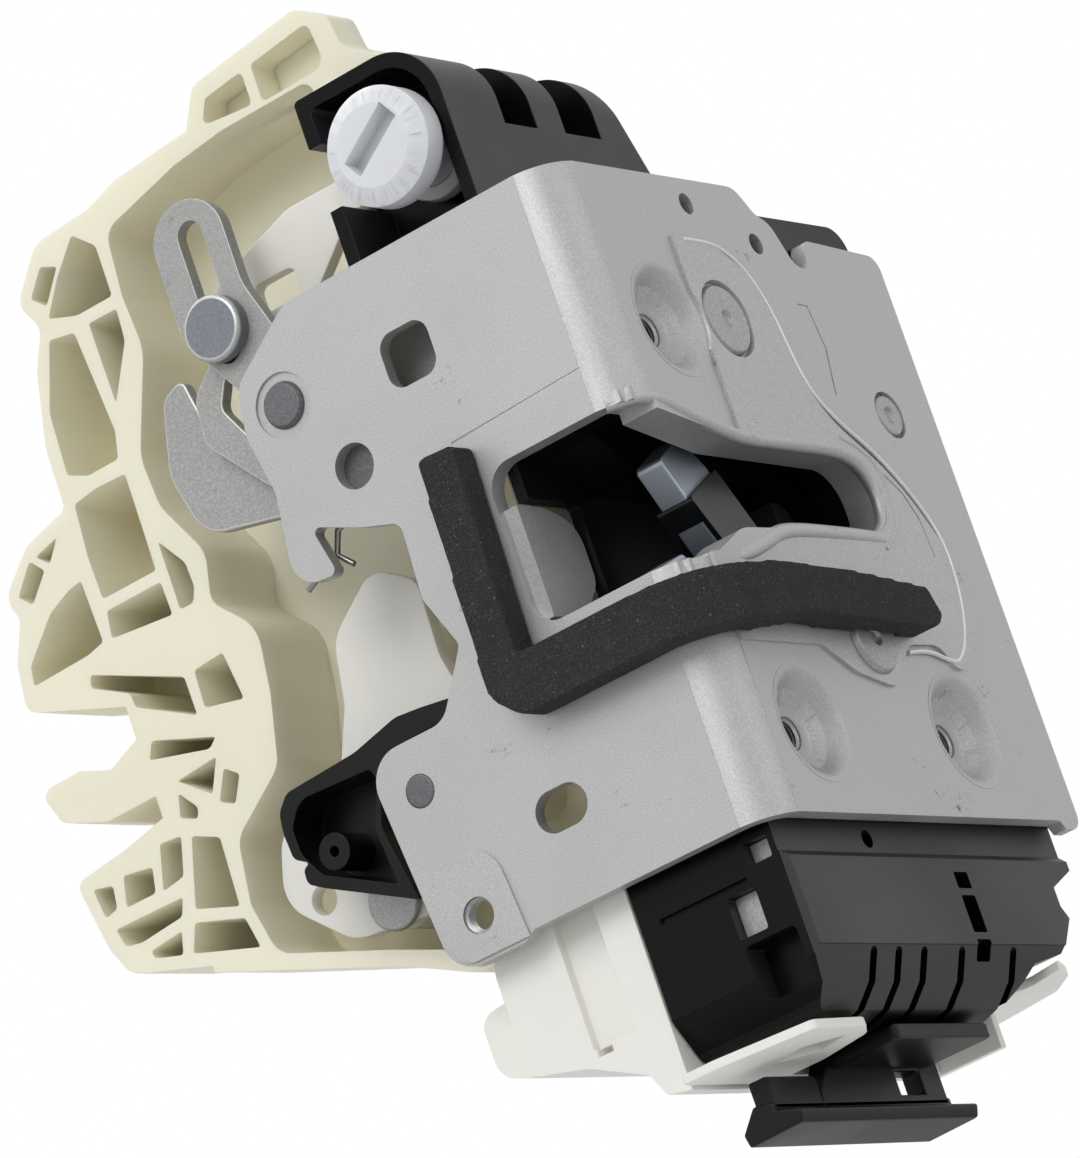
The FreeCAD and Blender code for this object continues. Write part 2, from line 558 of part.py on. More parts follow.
def make_latch_plate(doc, s):
    piece = Piece(doc, s, "latch_plate")
    wall, bend = s.plate_wall, s.plate_bend
    # the bend, then the two legs in their own outlines
    piece.pad("z", 0, s.plate_height, Outline([
        (0, 0, bend), (0, bend + 4), (-wall, bend + 4), (-wall, wall, bend - wall),
        (-bend - 4, wall), (-bend - 4, 0)]))
    piece.pad("y", 0, wall, Outline(s.outlines["plate_short"]))
    piece.pad("x", -wall, 0, Outline(s.outlines["plate_long"]))
    # pressed forms: the raised field and corner pad, the folded lips of the mouth, the dimples
    piece.pad("x", 0, s.plate_field, Outline(s.outlines["raised_field"]))
    piece.pad("y", -s.plate_pad, 0, Outline(s.outlines["corner_pad"]))
    piece.pad("x", -s.mouth_lip - wall, -wall, mouth_long(s, s.mouth_lip_wall, wall / 2))
    piece.pad("y", wall, s.mouth_lip_short, mouth_short(s, s.mouth_lip_wall, -wall / 2))
    rim, floor, sink = s.screw_dimple, s.screw_floor, s.screw_sink
    for place in screw_places(s):
        piece.turn("x", place, [(-sink - wall, 0), (-sink - wall, floor), (-wall, rim),
                                (-wall / 2, rim), (-wall / 2, 0)])
    # the mouth goes through both legs, then the hooked lug is folded in beside it
    piece.cut("y", -2, s.mouth_lip + wall, mouth_short(s))
    piece.cut("x", -s.mouth_lip - 2 * wall, 2, mouth_long(s))
    piece.pad("x", -s.mouth_reach, wall - s.mouth_reach, Outline(s.outlines["mouth_lug"]))
    for place in screw_places(s):
        piece.bore("x", place, [(-sink, 0), (-sink, floor - 0.6), (0, rim), (2, rim), (2, 0)])
    piece.cut("x", -sink - 2 * wall, 2, *[Ring(y, z, s.screw_core) for y, z in screw_places(s)])
    # rivet holes, drain holes and windows
    piece.cut("x", -2 * wall, 2, Ring(s.claw_y, s.claw_z, s.claw_pin),
              Ring(s.pawl_y, s.pawl_z, s.pawl_pin), Ring(s.frame_y, s.frame_z, s.frame_pin),
              Ring(32.2, 90.5, 1.6), Ring(47.4, 85.8, 1.6))
    piece.cut("y", -2, 2 * wall, Ring(-s.lever_x, s.lever_z, s.lever_pin),
              Ring(-s.rivet_low_x, s.rivet_low_z, s.rivet_low_pin),
              Ring(-s.swivel_x, s.swivel_z, s.swivel_window),
              Ring(-s.corner_screw_x, s.corner_screw_z, s.screw_core),
              Box(-34.4, 75.4, -26.2, 83.4, 2.4),
              Slot((-31.9, 13.2), (-29.2, 13.2), 2.9))
    # coined rings round the pawl's rivet and the levers' rivet
    piece.bore("x", (s.pawl_y, s.pawl_z), [
        (s.plate_field - 0.9, 0), (s.plate_field - 0.9, s.rivet_head + 0.2),
        (2, s.rivet_head + 0.8), (2, 0)])
    head = s.rivet_head - 2
    piece.bore("x", (s.frame_y, s.frame_z), [
        (-s.rivet_cap, 0), (-s.rivet_cap, head + 0.2), (1, head + 0.2), (1, 0)])
    piece.bore("y", (-s.lever_x, s.lever_z), [
        (-2, 0), (-2, s.lever_ring), (0.4, s.lever_ring), (0.4, 0)])
    return piece


def make_housing(doc, s):
    """The black moulding inside the plate: claw pit, striker channel and the skirt below."""
    piece = Piece(doc, s, "latch_housing")
    near, floor, low = -s.housing_near, -s.housing_floor, -s.housing_skirt_low
    front = s.housing_skirt_front
    piece.pad("x", floor, near, Box(s.housing_front, -0.4, s.housing_back, s.housing_top, 4))
    piece.pad("x", -s.housing_skirt_left, -s.housing_skirt_right, Outline([
        (front, 2), (front, -18.6, 1), (front + 4, low + 1.6, 3), (front + 10, low, 2),
        (66, low, 4), (73.6, -19, 4), (78, -12, 2), (78, 2)]))
    # the pit and the deeper channel, left open beside the plate's folded lug
    piece.cut("x", -s.housing_pit, 0, Outline(s.outlines["claw_pit"]))
    piece.cut("x", -s.housing_channel, 0, Outline([
        (0, 38.6), (12, 39.6, 4), (20, 41.0, 4), (s.mouth_end, 41.0, 5),
        (s.mouth_end, 55.4, 5), (20, 55.4, 4), (10, 60.4, 4), (0, 60.4)]))
    piece.cut("x", floor - 4, 0, Box(0, 37, 15.4, 54.4, 1))
    piece.cut("y", 0, s.mouth_lip_short + s.fit_air, mouth_short(s, s.mouth_lip_wall + s.fit_air))
    # the edge beside the plate's bend
    inner = s.plate_bend - s.plate_wall - s.fit_air * 2
    edge = (s.plate_bend - inner * 0.7071) * 2
    piece.cut("z", low - 1, s.housing_top + 1, Outline([(1 - edge, 1), (-1, edge - 1), (-1, 1)]))
    for y, z in screw_places(s):
        piece.cut("x", -s.housing_pit - 4, 0, Ring(y, z, s.screw_dimple + 0.4))
    for y, z in ((s.claw_y, s.claw_z), (s.pawl_y, s.pawl_z)):
        piece.cut("x", -s.housing_well, -s.housing_pit + 1, Ring(y, z, s.housing_spring_well))
    piece.cut("x", floor - 1, 0, Ring(s.claw_y, s.claw_z, s.claw_pin),
              Ring(s.pawl_y, s.pawl_z, s.pawl_pin), Ring(s.frame_y, s.frame_z, s.frame_pin))
    return piece


def make_back_plate(doc, s):
    piece = Piece(doc, s, "back_plate")
    front = -s.housing_floor
    piece.pad("x", front - 2, front, Outline([
        (17, 8, 4), (56, 8, 6), (74, 40, 8), (74, 80, 5), (24, 84, 5), (17, 70, 5)]))
    piece.cut("x", front - 3, front + 1, Ring(s.claw_y, s.claw_z, s.claw_pin),
              Ring(s.pawl_y, s.pawl_z, s.pawl_pin), Ring(s.frame_y, s.frame_z, s.frame_pin))
    return piece


def make_rivet(doc, s, label, y, z, pin, head):
    """A rivet from the shut face to the back plate, upset at both ends."""
    piece = Piece(doc, s, label)
    tail = -s.housing_floor - 2
    seat = s.plate_field - 0.9 if label == "pawl_pivot" else s.plate_field
    if label == "frame_rivet":
        seat = -s.rivet_cap
    piece.turn("x", (y, z), [
        (tail - s.rivet_tail, 0), (tail - s.rivet_tail, pin + 0.8),
        (tail, pin + s.rivet_tail_grip), (tail, pin), (seat, pin), (seat, head),
        (seat + s.rivet_cap, head - 0.5), (seat + s.rivet_cap, 1.4),
        (seat + s.rivet_cap - 0.5, 0.8), (seat + s.rivet_cap - 0.5, 0)])
    return piece


def make_claw(doc, s):
    piece = Piece(doc, s, "claw")
    near = -s.claw_near
    piece.pad("x", near - s.claw_thick, near, Outline(s.outlines["claw_steel"]))
    piece.cut("x", near - 2 * s.claw_thick, near + 1,
              Ring(s.claw_y, s.claw_z, s.claw_pin + s.fit_running))
    return piece


def make_claw_cover(doc, s):
    """The plastic moulded round the claw: a skin on each side, closed round its edge."""
    piece = Piece(doc, s, "claw_cover")
    near, far = -s.claw_near, -s.claw_near - s.claw_thick
    piece.pad("x", far - s.claw_coat, near + s.claw_coat, Outline(s.outlines["claw_coat"]))
    piece.cut("x", far, near, Outline(s.outlines["claw_steel"]))
    piece.cut("x", far - 2, near + 2, Ring(s.claw_y, s.claw_z, s.claw_pin + 1))
    return piece


def make_pawl(doc, s):
    piece = Piece(doc, s, "pawl")
    near = -s.claw_near
    piece.pad("x", near - s.claw_thick, near, Outline(s.outlines["pawl_steel"]))
    piece.cut("x", near - 2 * s.claw_thick, near + 1,
              Ring(s.pawl_y, s.pawl_z, s.pawl_pin + s.fit_running))
    return piece


def make_bumper(doc, s):
    """The rubber stop at the end of the striker channel."""
    piece = Piece(doc, s, "striker_stop")
    low, high = s.mouth_neck_low + 1, s.mouth_neck_high - 1
    piece.pad("x", -s.housing_channel, -s.housing_pit - 0.4, Outline([
        (s.mouth_end - 4.6, low, 0.4), (s.mouth_end, low, 4), (s.mouth_end, high, 4),
        (s.mouth_end - 4.6, high, 0.4)]))
    return piece


def make_hood(doc, s):
    """The black hood over the key coupling: open in front and to the left."""
    piece = Piece(doc, s, "coupling_hood")
    front, back, left, right = s.hood_front, s.hood_back, -s.hood_left, -s.hood_right
    wall, foot, top = s.hood_wall, s.hood_foot, s.hood_top
    piece.pad("y", front, back, Outline([
        (left, foot), (right, foot), (right, top, s.hood_round), (left, top, 0.8)]))
    piece.cut("x", left - 1, right + 1, Outline([
        (43, top + 1), (43.5, top - 0.6, 2), (51.4, 101.8, 3), (57.6, 94.0), (60, 94), (60, top + 1)]))
    piece.cut("y", front, front + s.hood_recess, Outline([
        (left + wall, foot + wall, 1), (right - wall, foot + wall, 1),
        (right - wall, top - wall, s.hood_round - wall), (left + wall, top - wall, 1)]))
    piece.cut("y", front - 1, front + s.hood_recess, Box(left - 1, 103.8, left + wall + 1, 113.2))
    piece.cut("y", front, back + 1, Ring(-s.key_x, s.key_z, s.key_shaft - 0.8 + s.fit_running))
    for low, high in ((16.6, 24.6), (31.6, 40.6)):
        piece.cut("y", low, high, Outline([
            (right + 1, 107.8), (right - 4, 107.8), (right - 9.5, top - 3.4),
            (right - 9.5, top + 1), (right + 1, top + 1)]))
    return piece


def make_coupling(doc, s):
    """The turning key coupling: a disc with a blade slot on a shaft through the hood."""
    piece = Piece(doc, s, "key_coupling")
    front, thin = -s.key_front, s.key_shaft - 0.8
    behind = s.arm_front + s.arm_thick
    piece.turn("y", (-s.key_x, s.key_z), [
        (front, 0), (front, s.key_disc - 1.4), (front + 1.4, s.key_disc),
        (s.hood_front - 0.5, s.key_disc), (s.hood_front - 0.5, s.key_shaft),
        (behind, s.key_shaft), (behind, thin), (50, thin), (50, 0)])
    half = (s.key_slot_long / 2 - s.key_slot_wide / 2) * 0.72
    piece.cut("y", front - 1, front + s.key_slot_deep, Rib(
        (-s.key_x - half - 1.6, s.key_z - half * 0.72 + 1.6 - 1.6),
        (-s.key_x + half + 1.6, s.key_z + half * 0.72 + 1.6), s.key_slot_wide))
    return piece


def make_lever(doc, s, label, level, holes):
    """A flat pressed lever at its level behind the plate."""
    piece = Piece(doc, s, label)
    piece.pad("y", level, level + s.lever_thick, Outline(s.outlines[label]))
    piece.cut("y", level - 1, level + s.lever_thick + 1, *holes)
    return piece


def make_lever_rivet(doc, s):
    piece = Piece(doc, s, "lever_pivot")
    back = lever_level(s, 0) + s.lever_thick + 0.12
    piece.turn("y", (-s.lever_x, s.lever_z), [
        (-0.5, 0), (-0.5, s.lever_pin), (0.4, s.lever_pin + 0.5), (0.4, s.lever_pin),
        (back, s.lever_pin), (back, s.lever_pin + 0.7), (back + 1.1, s.lever_pin + 0.5),
        (back + 1.1, 0)])
    return piece


def make_low_rivet(doc, s):
    piece = Piece(doc, s, "frame_pin")
    piece.turn("y", (-s.rivet_low_x, s.rivet_low_z), [
        (-0.15, 0), (-0.15, s.rivet_low_pin - 0.2), (0.1, s.rivet_low_pin),
        (12, s.rivet_low_pin), (12, 0)])
    return piece


def make_swivel_pin(doc, s):
    piece = Piece(doc, s, "swivel_pin")
    piece.turn("y", (-s.swivel_x, s.swivel_z), [
        (s.plate_wall + 0.4, 0), (s.plate_wall + 0.4, s.swivel_pin), (24, s.swivel_pin), (24, 0)])
    return piece


def make_stud(doc, s):
    """The headed stud of the stud lever, which slides in the slot of the slot lever."""
    piece = Piece(doc, s, "stud")
    head = lever_level(s, 0) - 0.15
    back = lever_level(s, 1) + s.lever_thick
    piece.turn("y", (-s.stud_x, s.stud_z), [
        (head - s.stud_head_thick, 0), (head - s.stud_head_thick, s.stud_head - 0.4),
        (head - s.stud_head_thick + 0.4, s.stud_head), (head, s.stud_head),
        (head, s.stud_shank), (back, s.stud_shank), (back, 0)])
    return piece


def make_lock_arm(doc, s):
    """The arm that the key coupling turns, from the hood into the case."""
    piece = Piece(doc, s, "lock_arm")
    front, back = s.arm_front, s.arm_front + s.arm_thick
    centre = (-s.key_x, s.key_z)
    piece.pad("y", front, back, Outline([
        (-31.0, 110.4, 1), (-31.0, 105.6, 1), (-38.6, 105.4, 3), (-48.0, 97.4, 4),
        (-60.0, 94.6, 4), (-66.0, 99.4, 4), (-62.6, 106.0, 4), (-48.0, 110.6, 6)]))
    piece.pad("y", front, back, Ring(*centre, s.arm_hub))
    piece.pad("y", front, back, Box(-32, 105.6, -s.key_x - 4, 110.4))
    piece.cut("y", front - 1, back + 1, Ring(*centre, s.key_shaft + s.fit_running))
    piece.cut("y", front - 1, back + 1, Box(-57.2, 98.6, -50.0, 102.8, 1.2))
    return piece


def make_case(doc, s):
    """The ivory case: an open front tray with posts, and the gear chamber behind it."""
    piece = Piece(doc, s, "actuator_case")
    wall, rim, floor, back = s.case_wall, s.case_rim, s.case_floor, s.case_back
    for name in ("case_low", "case_top", "case_box", "case_lobe", "case_clip_high",
                 "case_clip_low"):
        piece.pad("y", rim, floor + wall, Outline(s.outlines[name]))
    for name in ("case_bay", "top_box", "top_box_left"):
        piece.cut("y", rim, floor, Outline(s.outlines[name]))
    for x, z, start in ((s.rivet_low_x, s.rivet_low_z, s.plate_wall + 0.1),
                        (s.swivel_x, s.swivel_z, lever_level(s, 3)),
                        (s.link_pivot_x, s.link_pivot_z, s.link_front + s.link_thick + 0.15),
                        (s.bracket_post_x, s.bracket_post_z, s.bracket_front + s.bracket_depth)):
        slim = s.case_post / 2 if x is s.bracket_post_x else s.case_post
        piece.pad("y", start, floor, Ring(-x, z, slim))
    piece.cut("y", s.plate_wall, 12, Ring(-s.rivet_low_x, s.rivet_low_z, s.rivet_low_pin))
    piece.cut("y", lever_level(s, 2), 24, Ring(-s.swivel_x, s.swivel_z, s.swivel_pin))
    piece.cut("y", s.link_front, floor - 2, Ring(-s.link_pivot_x, s.link_pivot_z, s.link_pin))
    # the gear chamber, with its motor seats, the gear's post and the cover's screw posts
    chamber = s.outlines["chamber"]
    piece.pad("y", floor + wall, back, Outline(chamber))
    piece.cut("y", floor + wall, back, Outline(inset(chamber, s.chamber_wall, (-70, 70))))
    seat = s.motor_y - s.motor_flat - 0.1
    for x in (-52, -69):
        piece.pad("y", floor + wall, seat, Box(x, 97, x + 3, 111))
    for x, z in cover_screw_places(s):
        piece.pad("y", floor + wall, back, Ring(x, z, s.case_post))
        piece.cut("y", back - s.cover_screw_deep, back, Ring(x, z, s.cover_screw))
    return piece


def cover_screw_places(s):
    """The rear cover's screws, as (x, z)."""
    return [(-46.4, 28.4), (-46.4, 90.0), (-92.6, 52.0), (-62.0, 60.0)]


def gear_place(s):
    """The worm wheel's axis, as (x, z): under the middle of the worm."""
    return (-s.motor_right - s.motor_length - s.motor_neck - s.motor_worm_length / 2,
            s.motor_z - s.motor_worm - s.gear_radius - s.gear_mesh)


def make_cover(doc, s):
    """The rear cover of the gear chamber, with the plug socket."""
    piece = Piece(doc, s, "actuator_cover")
    back, thick = s.case_back, s.cover_thick
    chamber = s.outlines["chamber"]
    piece.pad("y", back, back + thick, Outline(chamber))
    # a shallow dome over the motor and a ring over the wheel
    piece.pad("y", back + thick, back + thick + 1.6, Box(-72, 95.4, -47, 112.6, 3))
    piece.pad("y", back + thick, back + thick + 1.2, Ring(*gear_place(s), s.gear_radius))
    for x, z in cover_screw_places(s):
        piece.cut("y", back - 1, back + thick + 1, Ring(x, z, s.cover_screw))
    # the plug socket: a shroud round four blades
    low = back + thick
    piece.pad("y", low, low + 11, Box(-84, 34.0, -62, 45.0, 2))
    piece.cut("y", low + 1, low + 12, Box(-82.4, 35.6, -63.6, 43.4, 1.4))
    for x in terminal_places(s):
        piece.cut("y", back - 1, low + 2, Box(x - s.terminal_wide / 2, 39.5 - s.terminal_thick / 2,
                                              x + s.terminal_wide / 2, 39.5 + s.terminal_thick / 2))
    return piece


def terminal_places(s):
    """The blades across the plug socket."""
    count = int(s.terminal_row.value)
    return [-73.0 + (index - (count - 1) / 2) * s.terminal_pitch for index in range(count)]


def make_terminals(doc, s):
    piece = Piece(doc, s, "terminals")
    piece.body.AllowCompound = True
    start = s.case_back - 1.5
    piece.pad("y", start, start + s.terminal_long + 2, *[
        Box(x - s.terminal_wide / 2, 39.5 - s.terminal_thick / 2,
            x + s.terminal_wide / 2, 39.5 + s.terminal_thick / 2) for x in terminal_places(s)])
    return piece


def make_cover_screws(doc, s):
    piece = Piece(doc, s, "cover_screws")
    piece.body.AllowCompound = True
    seat = s.case_back + s.cover_thick
    piece.pad("y", seat - s.cover_screw_deep, seat, *[
        Ring(x, z, s.cover_screw) for x, z in cover_screw_places(s)])
    piece.pad("y", seat, seat + 2, *[
        Ring(x, z, s.cover_screw_head) for x, z in cover_screw_places(s)])
    piece.cut("y", seat + 0.8, seat + 2, *[
        Ring(x, z, s.cover_screw_head / 2) for x, z in cover_screw_places(s)])
    return piece


def make_motor(doc, s):
    piece = Piece(doc, s, "lock_motor")
    right, left = -s.motor_right, -s.motor_right - s.motor_length
    centre = (s.motor_y, s.motor_z)
    piece.turn("x", centre, [(left - 1.5, 0), (left - 1.5, 3), (left, 3), (left, s.motor_radius),
                             (right, s.motor_radius), (right, 0)])
    for low, high in ((s.motor_y - 12, s.motor_y - s.motor_flat),
                      (s.motor_y + s.motor_flat, s.motor_y + 12)):
        piece.cut("y", low, high, Box(left - 1, s.motor_z - 12, right + 1, s.motor_z + 12))
    piece.bore("x", centre, [(left - 2, 0), (left - 2, s.motor_shaft + s.fit_running),
                             (left + 12, s.motor_shaft + s.fit_running), (left + 12, 0)])
    return piece


def make_worm(doc, s):
    """The motor's shaft with its worm, drawn as round ridges at the thread's pitch."""
    piece = Piece(doc, s, "motor_worm")
    left = -s.motor_right - s.motor_length
    start = left - s.motor_neck
    shaft, core, tip, pitch = s.motor_shaft, s.motor_worm_core, s.motor_worm, s.motor_pitch
    profile = [(left + 11, 0), (left + 11, shaft), (start, shaft), (start, core)]
    for turn in range(4):
        ridge = start - pitch * (turn + 0.5)
        profile += [(ridge, core), (ridge - 0.5, tip), (ridge - 0.9, tip), (ridge - 1.4, core)]
    end = start - s.motor_worm_length
    profile += [(end, core), (end, shaft), (end - 2, shaft), (end - 2, 0)]
    piece.turn("x", (s.motor_y, s.motor_z), profile)
    return piece


def make_gear(doc, s):
    """The worm wheel on its own short pin, with a toothed rim."""
    piece = Piece(doc, s, "worm_wheel")
    x, z = gear_place(s)
    low, high = s.motor_y - s.gear_thick / 2, s.motor_y + s.gear_thick / 2
    root = s.gear_radius - s.gear_tooth
    piece.pad("y", low, high, Ring(x, z, root))
    sketch = piece.sketch("y", high, [Outline([
        (-0.9, root - 0.5), (0.9, root - 0.5), (0.45, s.gear_radius), (-0.45, s.gear_radius)])],
        across=x, up=z)
    tooth = piece.feature("Pad", sketch)
    bind(tooth, "Length", s.gear_thick)
    teeth = piece.body.newObject("PartDesign::PolarPattern", "teeth")
    teeth.Originals = [tooth]
    teeth.Axis = (sketch, ["N_Axis"])
    teeth.Angle = 360
    bind(teeth, "Occurrences", s.gear_teeth)
    piece.body.Tip = teeth
    piece.pad("y", low - 2.4, high + 2, Ring(x, z, s.gear_hub))
    piece.cut("y", low - 3, high + 3, Ring(x, z, s.gear_pin + s.fit_running))
    piece.cut("y", high - 1.2, high, Ring(x, z, root - 2), Ring(x, z, s.gear_hub))
    return piece


def make_gear_pin(doc, s):
    piece = Piece(doc, s, "wheel_pin")
    piece.pad("y", s.case_floor + s.case_wall, s.case_back, Ring(*gear_place(s), s.gear_pin))
    return piece


def make_switch(doc, s):
    """The door-ajar switch in the chamber."""
    piece = Piece(doc, s, "ajar_switch")
    low = s.case_floor + s.case_wall
    piece.pad("y", low, low + 6, Box(-84, 58, -71.2, 64.5, 0.5))
    piece.pad("y", low + 2, low + 4, Rib((-83, 66), (-71.8, 67.6), 0.4))
    piece.pad("y", low + 2, low + 4, Box(-83.4, 64, -82.8, 66.4))
    return piece


def make_bracket(doc, s):
    """The black cable bracket beside the short leg, deep with a rim."""
    piece = Piece(doc, s, "cable_bracket")
    front, back = s.bracket_front, s.bracket_front + s.bracket_depth
    boss = (-s.bracket_boss_x, s.bracket_boss_z)
    piece.pad("y", front, back, Outline(s.outlines["cable_bracket"]))
    piece.cut("y", front, back - s.bracket_floor, Outline(s.outlines["bracket_pocket"]))
    piece.pad("y", front + 0.6, back, Ring(*boss, s.bracket_boss))
    piece.cut("y", front, back - 1, Ring(*boss, s.bracket_hole))
    return piece


def make_link(doc, s):
    piece = Piece(doc, s, "release_link")
    front, back = s.link_front, s.link_front + s.link_thick
    piece.pad("y", front, back, Outline(s.outlines["release_link"]))
    piece.cut("y", front - 1, back + 1, Ring(-s.link_eye_x, s.link_eye_z, s.link_eye),
              Ring(-s.link_pivot_x, s.link_pivot_z, s.link_pin + s.fit_running))
    return piece


def make_link_pin(doc, s):
    piece = Piece(doc, s, "link_pin")
    head = s.link_front - 0.15
    piece.turn("y", (-s.link_pivot_x, s.link_pivot_z), [
        (head - 1.2, 0), (head - 1.2, s.link_pin_head - 0.3), (head - 0.9, s.link_pin_head),
        (head, s.link_pin_head), (head, s.link_pin), (s.case_floor - 2, s.link_pin),
        (s.case_floor - 2, 0)])
    return piece


def make_white(doc, s):
    """The white block beside the skirt, which closes the case below the plate."""
    piece = Piece(doc, s, "switch_cover")
    piece.pad("y", s.white_front, s.white_back, Outline(s.outlines["white_block"]))
    return piece


def make_flange(doc, s):
    piece = Piece(doc, s, "base_flange")
    high = -s.housing_skirt_low - s.fit_air
    piece.pad("z", high - s.flange_thick, high, Outline(s.outlines["flange"]))
    piece.cut("z", high - s.flange_thick - 1, high + 1, Outline([
        (-22.4, 17.0), (-16.4, 15.4), (-12.0, 20.6), (-17.6, 22.0)]))
    return piece


def make_foot(doc, s):
    """The black plug bracket under the latch: a head, a web with a window and a ledge."""
    piece = Piece(doc, s, "plug_bracket")
    high = -s.housing_skirt_low - s.fit_air
    left, right = -s.foot_face - s.foot_thick, -s.foot_face
    piece.pad("z", high - s.foot_head, high, Box(left, 27, -5, 62, 1))
    piece.pad("x", left, right, Outline(s.outlines["foot_web"]))
    piece.pad("y", 26.8, 55, Box(left, -30, right, high - 0.4))
    piece.pad("y", -1, 60, Outline(s.outlines["foot_ledge"]))
    piece.pad("x", -28.6, right, Box(-0.6, -39.4, 9, -29.2, 1))
    piece.cut("x", left - 1, right + 1, Box(42.5, -31.4, 49.2, -27.6 - 0.9, 0.3))
    return piece


def make_foam(doc, s):
    """The foam strip round the mouth: short leg, bend and long leg."""
    piece = Piece(doc, s, "foam_seal")
    gap, thick, bend = s.foam_gap, s.foam_thick, s.plate_bend
    outer = gap + thick
    seat = s.plate_field + gap
    piece.pad("y", -outer, -gap, Outline(s.outlines["foam_short"]))
    piece.pad("z", 25.4, 33.4, Outline([
        (-bend - 1, -outer), (outer, -outer, outer + bend), (outer, bend + 1), (seat, bend + 1),
        (seat, -gap, gap + bend), (-bend - 1, -gap)]))
    piece.pad("x", seat, outer, Outline(s.outlines["foam_long"]))
    piece.cut("x", 0, s.plate_field + s.rivet_cap + gap,
              Ring(s.claw_y, s.claw_z, s.rivet_head + gap))
    return piece


class Wound:
    """A round wire that follows points by short mitred runs."""

    def __init__(self, doc, s, label, points, wire):
        path = Part.makePolygon(points)
        circle = Part.Wire(Part.makeCircle(wire, points[0], points[1] - points[0]))
        self.body = doc.addObject("Part::Feature", label)
        self.body.Label = label
        self.body.Shape = path.makePipeShell([circle], True, False, 1)
        self.body.Placement = Placement(Vector(
            0, -(s.screw_near.value + s.screw_far.value) / 2, -s.screw_low.value), Rotation())


def coil(centre, turn, radius, pitch, first, turns):
    """Points round a coil from a first angle in degrees, about the turned z axis."""
    count = round(turns * 14)
    for index in range(count + 1):
        angle = math.radians(first) + 2 * math.pi * index / 14
        yield centre + turn.multVec(Vector(
            radius * math.cos(angle), radius * math.sin(angle), pitch * index / 14))


def make_springs(doc, s):
    wire = s.spring_wire.value
    fine = wire * 0.75
    about_x = Rotation(Vector(0, 1, 0), -90)
    about_y = Rotation(Vector(1, 0, 0), -90)
    level = -(s.housing_pit.value + 1.2)
    claw = Vector(level, s.claw_y.value, s.claw_z.value)
    pawl = Vector(level, s.pawl_y.value, s.pawl_z.value)
    front = s.plate_wall.value + 0.8
    swivel = Vector(-s.swivel_x.value, front, s.swivel_z.value)
    back = front + fine * 2.1 * 1.64
    hook = [Vector(-59.2, front, 57.4), Vector(-54.8, front, 59.4), Vector(-55.4, front, 64.6)]
    tail = [Vector(-52.6, back, 63.6), Vector(-54.0, back, 60.4), Vector(-51.8, back, 58.2)]
    return [
        Wound(doc, s, "claw_spring", list(coil(
            claw, about_x, s.spring_claw_radius.value, wire * 2.1, 0, 1.8)), wire),
        Wound(doc, s, "pawl_spring", list(coil(
            pawl, about_x, s.spring_pawl_radius.value, wire * 2.1, 0, 1.8)), wire),
        Wound(doc, s, "lever_spring", hook + list(coil(
            swivel, about_y, s.spring_lever_radius.value, fine * 2.1, -140, 1.64)) + tail, fine)]


def build(doc):
    s = Sheet(doc)
    return [
        make_latch_plate(doc, s), make_housing(doc, s), make_back_plate(doc, s),
        make_rivet(doc, s, "claw_pivot", s.claw_y, s.claw_z, s.claw_pin, s.rivet_head),
        make_rivet(doc, s, "pawl_pivot", s.pawl_y, s.pawl_z, s.pawl_pin, s.rivet_head),
        make_rivet(doc, s, "frame_rivet", s.frame_y, s.frame_z, s.frame_pin, s.rivet_head - 2),
        make_claw(doc, s), make_claw_cover(doc, s), make_pawl(doc, s), make_bumper(doc, s),
        make_hood(doc, s), make_coupling(doc, s), make_lock_arm(doc, s),
        make_lever(doc, s, "slot_lever", lever_level(s, 0), [
            Ring(-s.lever_x, s.lever_z, s.lever_pin + s.fit_running),
            Slot((-s.stud_x, s.stud_slot_low), (-s.stud_x, s.stud_slot_top - s.stud_slot),
                 s.stud_slot)]),
        make_lever(doc, s, "stud_lever", lever_level(s, 1), [
            Ring(-s.swivel_x, s.swivel_z, s.swivel_pin + s.fit_running),
            Ring(-s.stud_x, s.stud_z, s.stud_shank)]),
        make_lever(doc, s, "sector_lever", lever_level(s, 2), [
            Ring(-s.swivel_x, s.swivel_z, s.swivel_pin + s.fit_running)]),
        make_stud(doc, s), make_lever_rivet(doc, s), make_low_rivet(doc, s),
        make_swivel_pin(doc, s), make_case(doc, s), make_cover(doc, s), make_cover_screws(doc, s),
        make_motor(doc, s), make_worm(doc, s), make_gear(doc, s), make_gear_pin(doc, s),
        make_switch(doc, s), make_terminals(doc, s), make_bracket(doc, s), make_link(doc, s),
        make_link_pin(doc, s), make_white(doc, s), make_flange(doc, s), make_foot(doc, s),
        make_foam(doc, s), *make_springs(doc, s)]


def check(doc, pieces):
    """Stop on a failed object, a cut that takes nothing away or a piece that isn't sound."""
    for item in doc.Objects:
        if any(state in item.State for state in ("Invalid", "Error")):
            raise RuntimeError(f"{item.Label} failed: {item.State} {item.getStatusString()}")
        if item.TypeId in ("PartDesign::Pocket", "PartDesign::Groove"):
            if item.Shape.Volume > item.BaseFeature.Shape.Volume - 0.01:
                raise RuntimeError(f"{item.Label} takes nothing away")
    for piece in pieces:
        shape = piece.body.Shape
        if shape.isNull() or not shape.isValid():
            raise RuntimeError(f"{piece.body.Label} isn't a sound solid")


